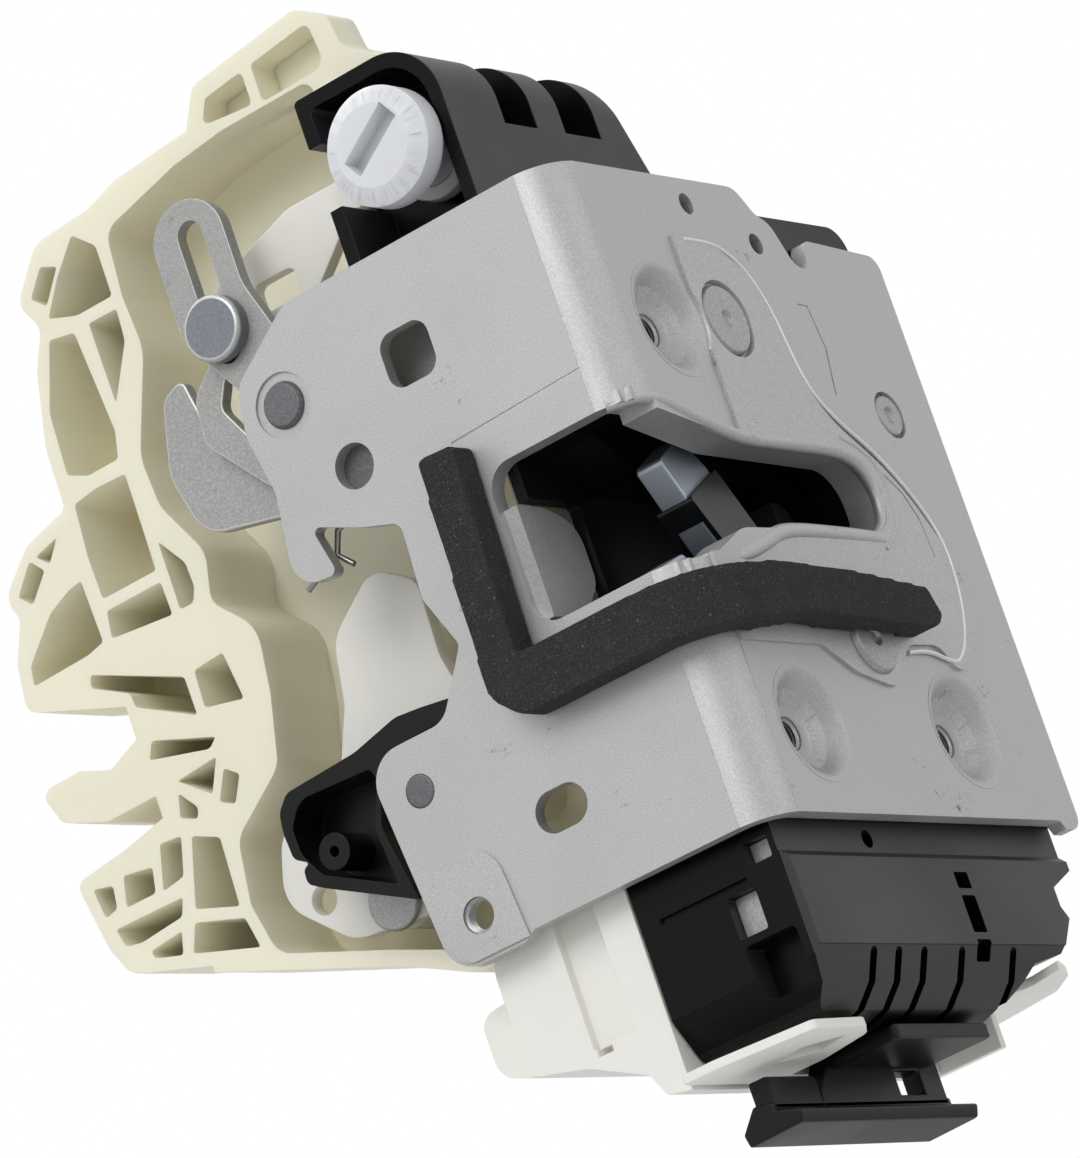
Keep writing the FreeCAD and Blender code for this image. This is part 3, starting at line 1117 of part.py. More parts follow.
def main():
    doc = FreeCAD.newDocument("door_latch_actuator")
    pieces = build(doc)
    doc.recompute()
    check(doc, pieces)
    os.makedirs("parts", exist_ok=True)
    for piece in pieces:
        shape = piece.body.Shape
        shape.exportStep(f"parts/{piece.body.Label}.step")
        print(f"{piece.body.Label}: {shape.Volume / 1000:.2f} cm3, {len(shape.Solids)} solid")


main()
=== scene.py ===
import json
import logging
import math
from collections.abc import Sequence
from dataclasses import dataclass, field
from enum import Enum
from typing import Any

import bmesh
import bpy
from mathutils import Matrix, Vector


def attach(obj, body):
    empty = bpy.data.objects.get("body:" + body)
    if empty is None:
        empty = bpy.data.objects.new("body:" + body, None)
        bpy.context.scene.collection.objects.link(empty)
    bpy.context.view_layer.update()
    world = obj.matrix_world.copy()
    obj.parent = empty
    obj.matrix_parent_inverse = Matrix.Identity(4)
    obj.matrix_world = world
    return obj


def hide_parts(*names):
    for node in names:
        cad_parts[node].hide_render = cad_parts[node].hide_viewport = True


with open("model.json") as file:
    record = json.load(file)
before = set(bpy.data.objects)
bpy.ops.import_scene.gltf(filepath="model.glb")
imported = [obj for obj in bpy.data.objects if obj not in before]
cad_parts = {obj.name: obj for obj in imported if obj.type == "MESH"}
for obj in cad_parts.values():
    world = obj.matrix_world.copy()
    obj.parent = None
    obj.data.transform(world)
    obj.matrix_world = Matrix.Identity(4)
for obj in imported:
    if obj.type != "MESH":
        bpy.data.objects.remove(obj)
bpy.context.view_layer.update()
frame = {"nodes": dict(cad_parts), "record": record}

Number = float | int
WELD = 1e-6
CUT_WELD = 2e-6
FLAT_WITHIN = math.radians(0.8)
log = logging.getLogger("door_latch")


class Value:
    """A shader socket that takes part in Python sums."""

    def __init__(self, shader: "Shader", socket: bpy.types.NodeSocket) -> None:
        """Keep the socket and the shader it belongs to."""
        self.shader = shader
        self.socket = socket

    def _math(self, operation: str, *others: "Value | Number") -> "Value":
        """Add a Math node for one operation."""
        return self.shader.node("ShaderNodeMath", {"operation": operation}, *others)

    def __add__(self, other: "Value | Number") -> "Value":
        """Sum."""
        return self._math("ADD", self, other)

    def __sub__(self, other: "Value | Number") -> "Value":
        """Difference."""
        return self._math("SUBTRACT", self, other)

    def __mul__(self, other: "Value | Number") -> "Value":
        """Product."""
        return self._math("MULTIPLY", self, other)

    __radd__ = __add__
    __rmul__ = __mul__

    def within(self, low: Number, high: Number) -> "Value":
        """A smooth step from 0 at low to 1 at high."""
        return self.shader.node(
            "ShaderNodeMapRange", {"interpolation_type": "SMOOTHSTEP"}, self, low, high, 0.0, 1.0)


class Shader:
    """One material's node graph, with the object's own metres as its coordinates."""

    def __init__(self, name: str) -> None:
        """Start an empty graph with a surface shader.

        Args:
            name: The material's name.
        """
        self.material = bpy.data.materials.new(name)
        self.material.use_nodes = True
        self.tree = self.material.node_tree
        self.surface = self.tree.nodes["Principled BSDF"]
        self.place = self.tree.nodes.new("ShaderNodeTexCoord").outputs["Object"]

    def node(self, kind: str, settings: dict[str, Any], *inputs: Any, out: int = 0) -> Value:
        """Add any node, with its settings first and then its inputs in order.

        Args:
            kind: The node's type.
            settings: Attributes such as a Math node's operation.
            inputs: Numbers, colours, sockets or Values; None leaves an input as it is.
            out: Which output to hand back.

        Returns:
            The chosen output.
        """
        made = self.tree.nodes.new(kind)
        for key, value in settings.items():
            setattr(made, key, value)
        for slot, value in zip(made.inputs, inputs):
            self._feed(slot, value)
        return Value(self, made.outputs[out])

    def _feed(self, slot: bpy.types.NodeSocket, value: Any) -> None:
        """Link or set one input."""
        if isinstance(value, Value):
            self.tree.links.new(value.socket, slot)
        elif isinstance(value, bpy.types.NodeSocket):
            self.tree.links.new(value, slot)
        elif value is not None:
            slot.default_value = value

    def stretched(self, across: float, deep: float, up: float) -> Value:
        """The coordinates, stretched along the axes."""
        return self.node("ShaderNodeMapping", {}, self.place, None, None, (across, deep, up))

    def noise(self, scale: float, detail: float = 3.0, rough: float = 0.55,
              place: Value | None = None) -> Value:
        """Fractal noise, from 0 to 1, at so many cells a metre."""
        return self.node("ShaderNodeTexNoise", {}, place or self.place, None, scale, detail, rough)

    def blend(self, factor: Value | Number, first: Any, second: Any) -> Value:
        """Mix two colours."""
        made = self.tree.nodes.new("ShaderNodeMix")
        made.data_type = "RGBA"
        for slot, value in ((0, factor), (6, first), (7, second)):
            self._feed(made.inputs[slot], value)
        return Value(self, made.outputs[2])

    def relief(self, height: Value, depth: float, strength: float = 1.0) -> None:
        """Bump the surface by a height map, with its depth in metres."""
        bump = self.tree.nodes.new("ShaderNodeBump")
        bump.inputs["Strength"].default_value = strength
        bump.inputs["Distance"].default_value = depth
        self._feed(bump.inputs["Height"], height)
        self.tree.links.new(bump.outputs["Normal"], self.surface.inputs["Normal"])

    def set(self, **sockets: Any) -> None:
        """Feed the surface's sockets by name, with _ for a space."""
        for name, value in sockets.items():
            self._feed(self.surface.inputs[name.replace("_", " ")], value)


def tone(red: float, green: float, blue: float) -> tuple[float, float, float, float]:
    """A colour seen on screen, from 0 to 255, as the shader's linear one."""
    def linear(part: float) -> float:
        part /= 255
        return part / 12.92 if part <= 0.04045 else ((part + 0.055) / 1.055) ** 2.4
    return (linear(red), linear(green), linear(blue), 1.0)


def shade(colour: tuple[float, ...], factor: float) -> tuple[float, float, float, float]:
    """A colour made darker or lighter."""
    return (*(min(1.0, part * factor) for part in colour[:3]), 1.0)


@dataclass(frozen=True)
class Metal:
    """Plated, blasted or plain steel."""

    name: str
    colour: tuple[float, float, float]
    rough: float = 0.45
    metallic: float = 0.85
    grain: float = 2600.0
    grain_depth: float = 0.00004
    speckle: float = 0.10
    blotch: float = 0.10
    scuffs: float = 0.0

    def make(self) -> bpy.types.Material:
        """Build the material: blotches, blasted speckle and dark rubbed scuffs."""
        shader = Shader(self.name)
        base = tone(*self.colour)
        blotch = shader.noise(70, 5, 0.6)
        speck = shader.noise(self.grain, 2, 0.6)
        colour = shader.blend(blotch.within(0.3, 0.7), shade(base, 1 - self.blotch),
                              shade(base, 1 + self.blotch * 0.5))
        colour = shader.blend(speck.within(0.35, 0.7), shader.blend(
            self.speckle, colour, (0.02, 0.02, 0.02, 1)), colour)
        if self.scuffs:
            smear = shader.noise(55, 8, 0.72, shader.stretched(1.0, 1.0, 2.2)).within(0.60, 0.70)
            fleck = shader.noise(900, 4, 0.7).within(0.50, 0.62)
            scratch = shader.noise(240, 2, 0.5, shader.stretched(6.0, 6.0, 0.35)).within(0.72, 0.76)
            mark = smear * fleck * self.scuffs + scratch * smear * (self.scuffs * 0.7)
            colour = shader.blend(mark, colour, (0.07, 0.07, 0.07, 1))
        shader.set(Base_Color=colour, Metallic=self.metallic,
                   Roughness=self.rough + blotch.within(0.3, 0.7) * 0.1 - speck * 0.06)
        shader.relief(speck, self.grain_depth, 0.6)
        return shader.material


@dataclass(frozen=True)
class Moulding:
    """Moulded plastic: black, ivory, white or milky."""

    name: str
    colour: tuple[float, float, float]
    rough: float = 0.42
    cloud: float = 0.06
    grain: float = 1400.0
    grain_depth: float = 0.00002
    glow: float = 0.0
    specular: float = 0.5
    flow: float = 0.0

    def make(self) -> bpy.types.Material:
        """Build the material: cloudy colour, faint flow streaks and fine moulded grain."""
        shader = Shader(self.name)
        base = tone(*self.colour)
        cloud = shader.noise(38, 4, 0.5)
        grain = shader.noise(self.grain, 3, 0.6)
        colour = shader.blend(cloud.within(0.3, 0.7), shade(base, 1 - self.cloud),
                              shade(base, 1 + self.cloud * 0.6))
        rough = self.rough + cloud.within(0.35, 0.65) * 0.08 + grain * 0.05
        if self.flow:
            streak = shader.noise(60, 5, 0.6, shader.stretched(1.0, 1.0, 5.0)).within(0.55, 0.75)
            colour = shader.blend(streak * self.flow, colour, shade(base, 0.8))
        shader.set(Base_Color=colour, Roughness=rough, Specular_IOR_Level=self.specular)
        if self.glow:
            shader.set(Subsurface_Weight=self.glow, Subsurface_Scale=0.004,
                       Subsurface_Radius=(1.0, 0.9, 0.7))
        shader.relief(grain, self.grain_depth, 0.5)
        return shader.material


@dataclass(frozen=True)
class CellFoam:
    """Dark foam with open cells and pale specks."""

    name: str = "cell_foam"
    colour: tuple[float, float, float] = (62, 61, 64)

    def make(self) -> bpy.types.Material:
        """Build the material: small dark pores, a grey skin and a few light specks."""
        shader = Shader(self.name)
        base = tone(*self.colour)
        pores = shader.noise(4200, 2, 0.6).within(0.38, 0.62)
        lumps = shader.noise(260, 4, 0.6)
        specks = shader.noise(2600, 1, 0.5).within(0.70, 0.76)
        colour = shader.blend(pores, shade(base, 0.6), shader.blend(
            lumps.within(0.3, 0.7), shade(base, 0.95), shade(base, 1.2)))
        colour = shader.blend(specks * 0.7, colour, tone(125, 125, 127))
        shader.set(Base_Color=colour, Roughness=0.95, Specular_IOR_Level=0.2)
        shader.relief(pores, 0.0002, 0.8)
        return shader.material


class Finish(Enum):
    """The finishes of the latch, each made once."""

    ZINC = Metal("zinc_plate", (190, 191, 190), 0.48, 0.6, 5200, 0.00004, 0.24, 0.035, 1.0)
    # Brighter zinc: worn on the rounded edges, and a painted highlight on the pressed curve's bead.
    ZINC_EDGE = Metal("zinc_worn_edge_and_painted_highlight", (216, 216, 214), 0.36, 0.75, 4200, 0.00003, 0.10, 0.05, 0.5)
    BLASTED = Metal("blasted_steel", (170, 171, 169), 0.55, 0.55, 3600, 0.00006, 0.24, 0.05, 0.5)
    BLASTED_EDGE = Metal("worn_steel_edge", (196, 197, 196), 0.4, 0.7, 3600, 0.00004, 0.15, 0.06)
    RIVET = Metal("rivet_steel", (170, 171, 171), 0.44, 0.75, 2600, 0.00004, 0.22, 0.08, 0.5)
    DARK_RIVET = Metal("dark_rivet_steel", (112, 113, 116), 0.5, 0.6, 2600, 0.00005, 0.3, 0.12, 0.5)
    STUD = Metal("stud_steel", (132, 135, 142), 0.5, 0.6, 3000, 0.00004, 0.2, 0.1, 0.4)
    CLAW = Metal("claw_steel", (146, 156, 168), 0.28, 0.9, 1300, 0.00005, 0.15, 0.2, 0.3)
    WIRE = Metal("spring_wire", (150, 150, 146), 0.32, 0.9, 1500, 0.00002, 0.1, 0.1)
    BRASS = Metal("tinned_blade", (205, 190, 150), 0.32, 0.9, 1500, 0.00002, 0.1, 0.1)
    BLACK = Moulding("black_moulding", (13, 13, 15), 0.30, 0.12, 2600, 0.00001, 0.0, 0.22)
    # Very dark glossy black: the hood's own colour, and painted shade on the housing's faces turned
    # to -Y.
    GLOSS = Moulding("glossy_black_and_painted_shade", (6, 6, 8), 0.24, 0.1, 2600, 0.00001, 0.0, 0.14)
    # Grey-black copy of the black moulding: painted sheen for black faces turned towards the light.
    SHOULDER = Moulding("painted_sheen_grey_black", (38, 37, 42), 0.46, 0.08, 2600, 0.00001, 0.0, 0.5)
    COAT = Moulding("black_claw_coat", (16, 17, 19), 0.28, 0.12, 900, 0.00003, 0.0, 0.4)
    IVORY = Moulding("ivory_moulding", (240, 236, 215), 0.42, 0.02, 1600, 0.00001, 0.25, 0.35, 0.05)
    WHITE = Moulding("white_moulding", (240, 239, 233), 0.45, 0.02, 1600, 0.00001, 0.15, 0.35, 0.03)
    MILKY = Moulding("milky_moulding", (221, 223, 227), 0.32, 0.03, 1600, 0.00001, 0.35, 0.4, 0.03)
    LINK = Moulding("warm_milky_moulding", (234, 232, 226), 0.36, 0.04, 1600, 0.00001, 0.35, 0.4,
                    0.1)
    RUBBER = Moulding("stop_rubber", (28, 28, 29), 0.7, 0.1, 900, 0.00003)
    FOAM = CellFoam()

    @property
    def material(self) -> bpy.types.Material:
        """The finish's material, made on first use."""
        return bpy.data.materials.get(self.value.name) or self.value.make()


def finished(name: str, bm: bmesh.types.BMesh, body: str, finish: Finish, slot: str,
             edge: Finish | None = None, smooth: float = 32.0) -> bpy.types.Object:
    """Turn a bmesh into a piece that rides on its body.

    Args:
        name: The piece's name.
        bm: Its mesh in the frame's metres; it is freed.
        body: The body it moves with.
        finish: Its finish.
        slot: The record's material slot; not used.
        edge: A finish for the faces marked 1.
        smooth: Edges flatter than this many degrees are shaded smooth.

    Returns:
        The new object.
    """
    mesh = bpy.data.meshes.new(name)
    bm.to_mesh(mesh)
    bm.free()
    mesh.materials.append(finish.material)
    if edge:
        mesh.materials.append(edge.material)
    mesh.shade_smooth()
    mesh.set_sharp_from_angle(angle=math.radians(smooth))
    piece = bpy.data.objects.new(name, mesh)
    bpy.context.collection.objects.link(piece)
    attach(piece, body)
    return piece


def body_of(node: str) -> str:
    """The body that a node belongs to."""
    bodies = frame["record"]["behaviour"]["bodies"]
    return next(body for body, nodes in bodies.items() if node in nodes)


def slot_of(node: str) -> str:
    """The record's material slot of a node."""
    return next(part["material_slot"] for part in frame["record"]["subparts"]
                if part["node"] == node)


def copied(node: str) -> bmesh.types.BMesh:
    """A node's own shape, merged and with its flat faces whole."""
    bm = bmesh.new()
    bm.from_mesh(frame["nodes"][node].data)
    for face in bm.faces:
        face.material_index = 0
    bmesh.ops.remove_doubles(bm, verts=bm.verts, dist=WELD)
    bmesh.ops.dissolve_limit(bm, angle_limit=FLAT_WITHIN, verts=bm.verts, edges=bm.edges)
    return bm


OUTLINE = list[tuple[float, float]]
ORIGIN = Vector((0.0, 37.5, 13.0))


def at(x: float, y: float, z: float) -> Vector:
    """A point measured in millimetres from the plate's lower corner, in the frame's metres."""
    return (Vector((x, y, z)) - ORIGIN) / 1000


class Side(Enum):
    """The axis along which an outline is pulled."""

    X = "x"
    Y = "y"
    Z = "z"

    def put(self, across: float, up: float, along: float) -> Vector:
        """Place a point of an outline at its height along the axis."""
        if self is Side.X:
            return at(along, across, up)
        return at(across, along, up) if self is Side.Y else at(across, up, along)

    @property
    def direction(self) -> Vector:
        """The axis's direction."""
        return Vector([float(self.value == name) for name in "xyz"])


def rect(left: float, low: float, right: float, high: float) -> OUTLINE:
    """The outline of an upright rectangle."""
    return [(left, low), (right, low), (right, high), (left, high)]


def slab(side: Side, low: float, high: float, outline: OUTLINE,
         round_by: float = 0.0) -> bmesh.types.BMesh:
    """Pull an outline into a closed solid.

    Args:
        side: The axis it is pulled along.
        low: Where it starts, in millimetres.
        high: Where it ends.
        outline: Its corners.
        round_by: How far each corner is rounded.

    Returns:
        The solid.
    """
    bm = bmesh.new()
    ring = [bm.verts.new(side.put(across, up, low)) for across, up in outline]
    bm.faces.new(ring)
    if round_by:
        bmesh.ops.bevel(bm, geom=ring, offset=round_by / 1000, offset_type="OFFSET", segments=4,
                        affect="VERTICES", profile=0.5, material=-1, clamp_overlap=True)
    made = bmesh.ops.extrude_face_region(bm, geom=bm.faces[:])
    bmesh.ops.translate(bm, vec=side.direction * (high - low) / 1000, verts=[
        part for part in made["geom"] if isinstance(part, bmesh.types.BMVert)])
    bmesh.ops.recalc_face_normals(bm, faces=bm.faces)
    return bm


def round_bar(side: Side, low: float, high: float, centre: tuple[float, float], radius: float,
              end: float | None = None, sides: int = 48) -> bmesh.types.BMesh:
    """A round or tapered bar along an axis, from its radius at low to its radius at high."""
    bm = bmesh.new()
    middle = Matrix.Translation(side.put(*centre, (low + high) / 2))
    turn = side.direction.to_track_quat("Z", "Y").to_matrix().to_4x4()
    bmesh.ops.create_cone(bm, cap_ends=True, segments=sides, radius1=radius / 1000,
                          radius2=(radius if end is None else end) / 1000,
                          depth=(high - low) / 1000, matrix=middle @ turn)
    return bm


def joined(first: bmesh.types.BMesh, *others: bmesh.types.BMesh) -> bmesh.types.BMesh:
    """Put other solids' meshes into the first, and free them."""
    for other in others:
        spare = bpy.data.meshes.new("spare")
        other.to_mesh(spare)
        other.free()
        first.from_mesh(spare)
        bpy.data.meshes.remove(spare)
    return first


def carved(block: bmesh.types.BMesh, *cutters: bmesh.types.BMesh) -> bmesh.types.BMesh:
    """Cut solids out of a block, and free them."""
    pair = []
    for name, bm in (("block", block), ("cutter", joined(*cutters))):
        mesh = bpy.data.meshes.new(name)
        bm.to_mesh(mesh)
        bm.free()
        pair.append(bpy.data.objects.new(name, mesh))
        bpy.context.collection.objects.link(pair[-1])
    cut = pair[0].modifiers.new("cut", "BOOLEAN")
    cut.operation = "DIFFERENCE"
    cut.solver = "EXACT"
    cut.use_self = True
    cut.object = pair[1]
    shape = pair[0].evaluated_get(bpy.context.evaluated_depsgraph_get())
    result = bpy.data.meshes.new_from_object(shape)
    bm = bmesh.new()
    bm.from_mesh(result)
    bpy.data.meshes.remove(result)
    for piece in pair:
        mesh = piece.data
        bpy.data.objects.remove(piece)
        bpy.data.meshes.remove(mesh)
    for face in bm.faces:
        face.material_index = 0
    bmesh.ops.remove_doubles(bm, verts=bm.verts, dist=CUT_WELD)
    bmesh.ops.dissolve_limit(bm, angle_limit=FLAT_WITHIN, verts=bm.verts, edges=bm.edges)
    return bm


def groove(side: Side, low: float, high: float, line: OUTLINE,
           width: float) -> list[bmesh.types.BMesh]:
    """Thin cutters that follow a line."""
    cutters = []
    for (left, down), (right, up) in zip(line, line[1:]):
        run = Vector((right - left, up - down)).normalized() * (width / 2)
        cutters.append(slab(side, low, high, [
            (left - run.x + run.y, down - run.y - run.x),
            (right + run.x + run.y, up + run.y - run.x),
            (right + run.x - run.y, up + run.y + run.x),
            (left - run.x - run.y, down - run.y + run.x)]))
    return cutters


def rounded_off(bm: bmesh.types.BMesh, lines: list[bmesh.types.BMEdge], width: float,
                segments: int) -> list[bmesh.types.BMFace]:
    """Round edges, and hand back the new faces."""
    return bmesh.ops.bevel(bm, geom=lines, offset=width, offset_type="OFFSET", segments=segments,
                           affect="EDGES", profile=0.5, material=-1, clamp_overlap=True)["faces"]


def softened(node: str, finish: Finish, width: float, edge: Finish | None = None,
             limit: float = 38.0, segments: int = 2,
             form: bmesh.types.BMesh | None = None) -> bpy.types.Object:
    """Stand a piece with rounded edges in for a node.

    Args:
        node: The node.
        finish: The finish of its faces.
        width: How far its sharp edges are rounded, in metres.
        edge: The finish of the rounded edges, where they shine.
        limit: Edges sharper than this many degrees are rounded.
        segments: Faces across each rounding.
        form: The piece's own mesh, where it isn't the node's.

    Returns:
        The new piece.
    """
    bm = form or copied(node)
    sharp = [line for line in bm.edges
             if len(line.link_faces) == 2 and line.calc_face_angle(0.0) > math.radians(limit)]
    rounded = rounded_off(bm, sharp, width, segments)
    if edge:
        for face in rounded:
            face.material_index = 1
    piece = finished(f"{node}_skin", bm, body_of(node), finish, slot_of(node), edge)
    even = piece.modifiers.new("flat_faces", "WEIGHTED_NORMAL")
    even.keep_sharp = True
    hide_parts(node)
    return piece


@dataclass
class FacePlate:
    """The bent steel plate, its rivets and the threads of its screw holes."""

    edge: float = 0.00045
    thread: float = 0.0025
    pitch: float = 0.001
    depth: float = 0.0022
    roll: float = 0.0011
    scribe_deep: float = 0.14
    scribe_wide: float = 0.35
    lip_sunk: float = 0.3
    scribes: tuple[tuple[Side, float, OUTLINE], ...] = (
        (Side.Y, 0.0, [(-28.3, 65.2), (-3.6, 66.1)]),
        (Side.X, 0.0, [(53.1, 77.0), (55.4, 76.9), (56.4, 70.6), (54.7, 63.5)]),
        (Side.X, 0.5, [(58.1, 51.9), (62.3, 48.7), (64.5, 44.9), (65.2, 39.3)]))
    sweep: tuple[tuple[float, float], ...] = (
        (27.0, 84.5), (33.0, 84.8), (38.3, 83.3), (42.0, 80.0), (44.4, 74.9), (45.4, 69.3),
        (47.0, 63.4), (51.8, 58.9), (58.5, 55.0), (63.4, 50.5), (67.7, 45.1), (69.4, 40.4),
        (68.5, 33.0), (65.5, 26.7), (62.0, 23.3), (59.5, 23.2), (53.9, 24.8), (48.6, 24.1))
    high_lip: tuple[tuple[float, float, float], ...] = (
        (-4.6, 1.2, 60.0), (-1.8, 3.0, 60.2), (-0.4, 6.0, 60.0), (-0.2, 11.0, 58.6),
        (-0.1, 19.0, 56.3), (-0.1, 26.0, 54.9), (-0.1, 36.0, 54.9), (-0.1, 48.0, 54.9),
        (-0.2, 53.8, 53.9), (-0.3, 56.9, 50.6), (-0.3, 57.2, 46.6), (-0.3, 55.4, 43.0),
        (-0.3, 52.0, 41.4))
    low_lip: tuple[tuple[float, float, float], ...] = (
        (-0.3, 53.0, 41.4), (-0.2, 48.0, 41.5), (-0.1, 40.0, 41.5), (0.0, 31.0, 41.4),
        (0.0, 25.5, 40.8), (0.0, 20.0, 38.6), (-0.2, 14.0, 36.6), (-1.0, 9.0, 36.1))
    screws: tuple[tuple[float, float], ...] = ((17.5, 72.0), (17.5, 13.0), (57.5, 13.0))
    cup: tuple[tuple[float, float], ...] = (
        (8.6, 0.05), (8.0, -0.05), (7.4, -0.4), (6.6, -1.25), (5.6, -2.55), (4.8, -3.4),
        (4.0, -3.8), (3.2, -3.92), (2.62, -3.95), (2.62, -4.4), (4.4, -4.5), (8.2, -0.9),
        (8.6, -0.4), (8.6, 0.05))

    def build(self) -> None:
        """Dress the plate and its rivets and cut the threads."""
        cutters = []
        for side, level, line in self.scribes:
            low, high = (-0.3, self.scribe_deep) if side is Side.Y else (
                level - self.scribe_deep, level + 0.3)
            cutters += groove(side, low, high, line, self.scribe_wide)
        bm = carved(copied("latch_plate"), *cutters)
        rounded_off(bm, [line for line in bm.edges if self.is_lip(line)], self.roll, 4)
        softened("latch_plate", Finish.ZINC, self.edge, Finish.ZINC_EDGE, 50.0, form=bm)
        # The pressed curve's bead is in the brighter zinc: a painted highlight along the curve.
        self.bead("pressed_curve", [(0.3, y, z) for y, z in self.sweep], 0.34, Finish.ZINC_EDGE)
        for number, (across, up) in enumerate(self.screws):
            self.bowl(f"screw_cup_{number}", across, up)
        for name, line, radius in (("high_lip", self.high_lip, 1.05),
                                   ("low_lip", self.low_lip, 1.35)):
            self.bead(name, [(x - self.lip_sunk, y, z) for x, y, z in line], radius, Finish.ZINC)
        self.bead("end_ring", [
            (0.3, 50.6, 56.4), (0.3, 55.6, 55.0), (0.3, 58.9, 51.2), (0.3, 59.3, 46.6),
            (0.3, 57.2, 42.2), (0.3, 52.6, 39.7)], 0.38, Finish.ZINC)
        for node in ("claw_pivot", "pawl_pivot", "frame_rivet"):
            softened(node, Finish.RIVET, 0.00015)
        for node in ("frame_pin", "lever_pivot"):
            softened(node, Finish.DARK_RIVET, 0.00015)
        softened("back_plate", Finish.ZINC, 0.0003)
        for label, mount in (("high", "door_screw_high"), ("low", "door_screw_low"),
                             ("far", "door_screw_far"), ("corner", "corner_screw")):
            self.tap(label, mount)

    def bowl(self, name: str, across: float, up: float) -> None:
        """Line a screw's dimple with its smooth pressed bowl.

        Args:
            name: The bowl's name.
            across: Where its middle is along the face, in millimetres.
            up: How high its middle is.
        """
        bm = bmesh.new()
        verts = [bm.verts.new(at(deep, across + radius, up)) for radius, deep in self.cup[:-1]]
        rims = [bm.edges.new((verts[step], verts[step - 1])) for step in range(len(verts))]
        bmesh.ops.spin(bm, geom=verts + rims, cent=at(0, across, up), axis=(1, 0, 0),
                       angle=2 * math.pi, steps=72, use_merge=True)
        bmesh.ops.remove_doubles(bm, verts=bm.verts, dist=WELD)
        bmesh.ops.recalc_face_normals(bm, faces=bm.faces)
        finished(name, bm, "frame", Finish.ZINC, "zinc", smooth=60)

    def bead(self, name: str, line: Sequence[tuple[float, float, float]], radius: float,
             finish: Finish) -> None:
        """Run a rounded bead along the plate's face, half sunk in it.

        Args:
            name: The bead's name.
            line: Its points, in millimetres.
            radius: Half its width.
            finish: Its finish.
        """
        path = bpy.data.curves.new(name, "CURVE")
        path.dimensions = "3D"
        path.bevel_depth = radius / 1000
        path.bevel_resolution = 3
        path.use_fill_caps = True
        spline = path.splines.new("NURBS")
        spline.points.add(len(line) - 1)
        for point, place in zip(spline.points, line):
            point.co = (*at(*place), 1.0)
        spline.order_u = 3
        spline.use_endpoint_u = True
        spline.resolution_u = 6
        curve = bpy.data.objects.new(name, path)
        bpy.context.collection.objects.link(curve)
        shape = curve.evaluated_get(bpy.context.evaluated_depsgraph_get())
        bm = bmesh.new()
        mesh = bpy.data.meshes.new_from_object(shape)
        bm.from_mesh(mesh)
        bpy.data.objects.remove(curve)
        bpy.data.meshes.remove(mesh)
        bmesh.ops.remove_doubles(bm, verts=bm.verts, dist=WELD)
        bmesh.ops.recalc_face_normals(bm, faces=bm.faces)
        finished(name, bm, "frame", finish, "zinc", smooth=60)

    def is_lip(self, line: bmesh.types.BMEdge) -> bool:
        """Whether an edge is on the rim of the mouth in the shut face."""
        inside = all(-0.0001 < vert.co.x < 0.0006 and at(0, 7, 33).y < vert.co.y < at(0, 58, 0).y
                     and at(0, 0, 33).z < vert.co.z < at(0, 0, 60).z for vert in line.verts)
        deep = [face for face in line.link_faces
                if min(vert.co.x for vert in face.verts) < -0.0015]
        return inside and len(deep) == 1 and len(line.link_faces) == 2 \
            and line.calc_face_angle(0.0) > 0.9

    def tap(self, label: str, mount: str) -> None:
        """Put a thread's crests inside one screw hole."""
        entry = next(item for item in frame["record"]["mounts"] if item["name"] == mount)
        place, axis = Vector(entry["pos_m"]), Vector(entry["axis"])
        out = self.thread - 0.00005
        bm = bmesh.new()
        steps = int(self.depth / self.pitch * 2)
        points = [(out, -self.depth / 2)]
        for step in range(steps):
            low = -self.depth / 2 + step * self.pitch / 2
            points += [(out - 0.00045, low + self.pitch * 0.25), (out, low + self.pitch * 0.5)]
        verts = [bm.verts.new((radius, 0, along)) for radius, along in points]
        rims = [bm.edges.new(pair) for pair in zip(verts, verts[1:])]
        bmesh.ops.spin(bm, geom=verts + rims, cent=(0, 0, 0), axis=(0, 0, 1),
                       angle=2 * math.pi, steps=32, use_merge=True)
        bmesh.ops.remove_doubles(bm, verts=bm.verts, dist=1e-7)
        bmesh.ops.recalc_face_normals(bm, faces=bm.faces)
        bmesh.ops.reverse_faces(bm, faces=bm.faces)
        turn = axis.to_track_quat("Z", "Y").to_matrix().to_4x4()
        bmesh.ops.transform(bm, matrix=Matrix.Translation(place) @ turn, verts=bm.verts)
        finished(f"thread_{label}", bm, "frame", Finish.RIVET, "zinc", smooth=20)


@dataclass
class Claw:
    """The claw with its moulded coat, the pawl and their springs."""

    def build(self) -> None:
        """Dress the claw set."""
        softened("claw", Finish.CLAW, 0.0004, limit=30)
        softened("claw_cover", Finish.COAT, 0.0003, limit=30)
        softened("pawl", Finish.CLAW, 0.0004, limit=30)
        softened("striker_stop", Finish.RUBBER, 0.0004)
        for node in ("claw_spring", "pawl_spring"):
            softened(node, Finish.WIRE, 0.00005, limit=80)


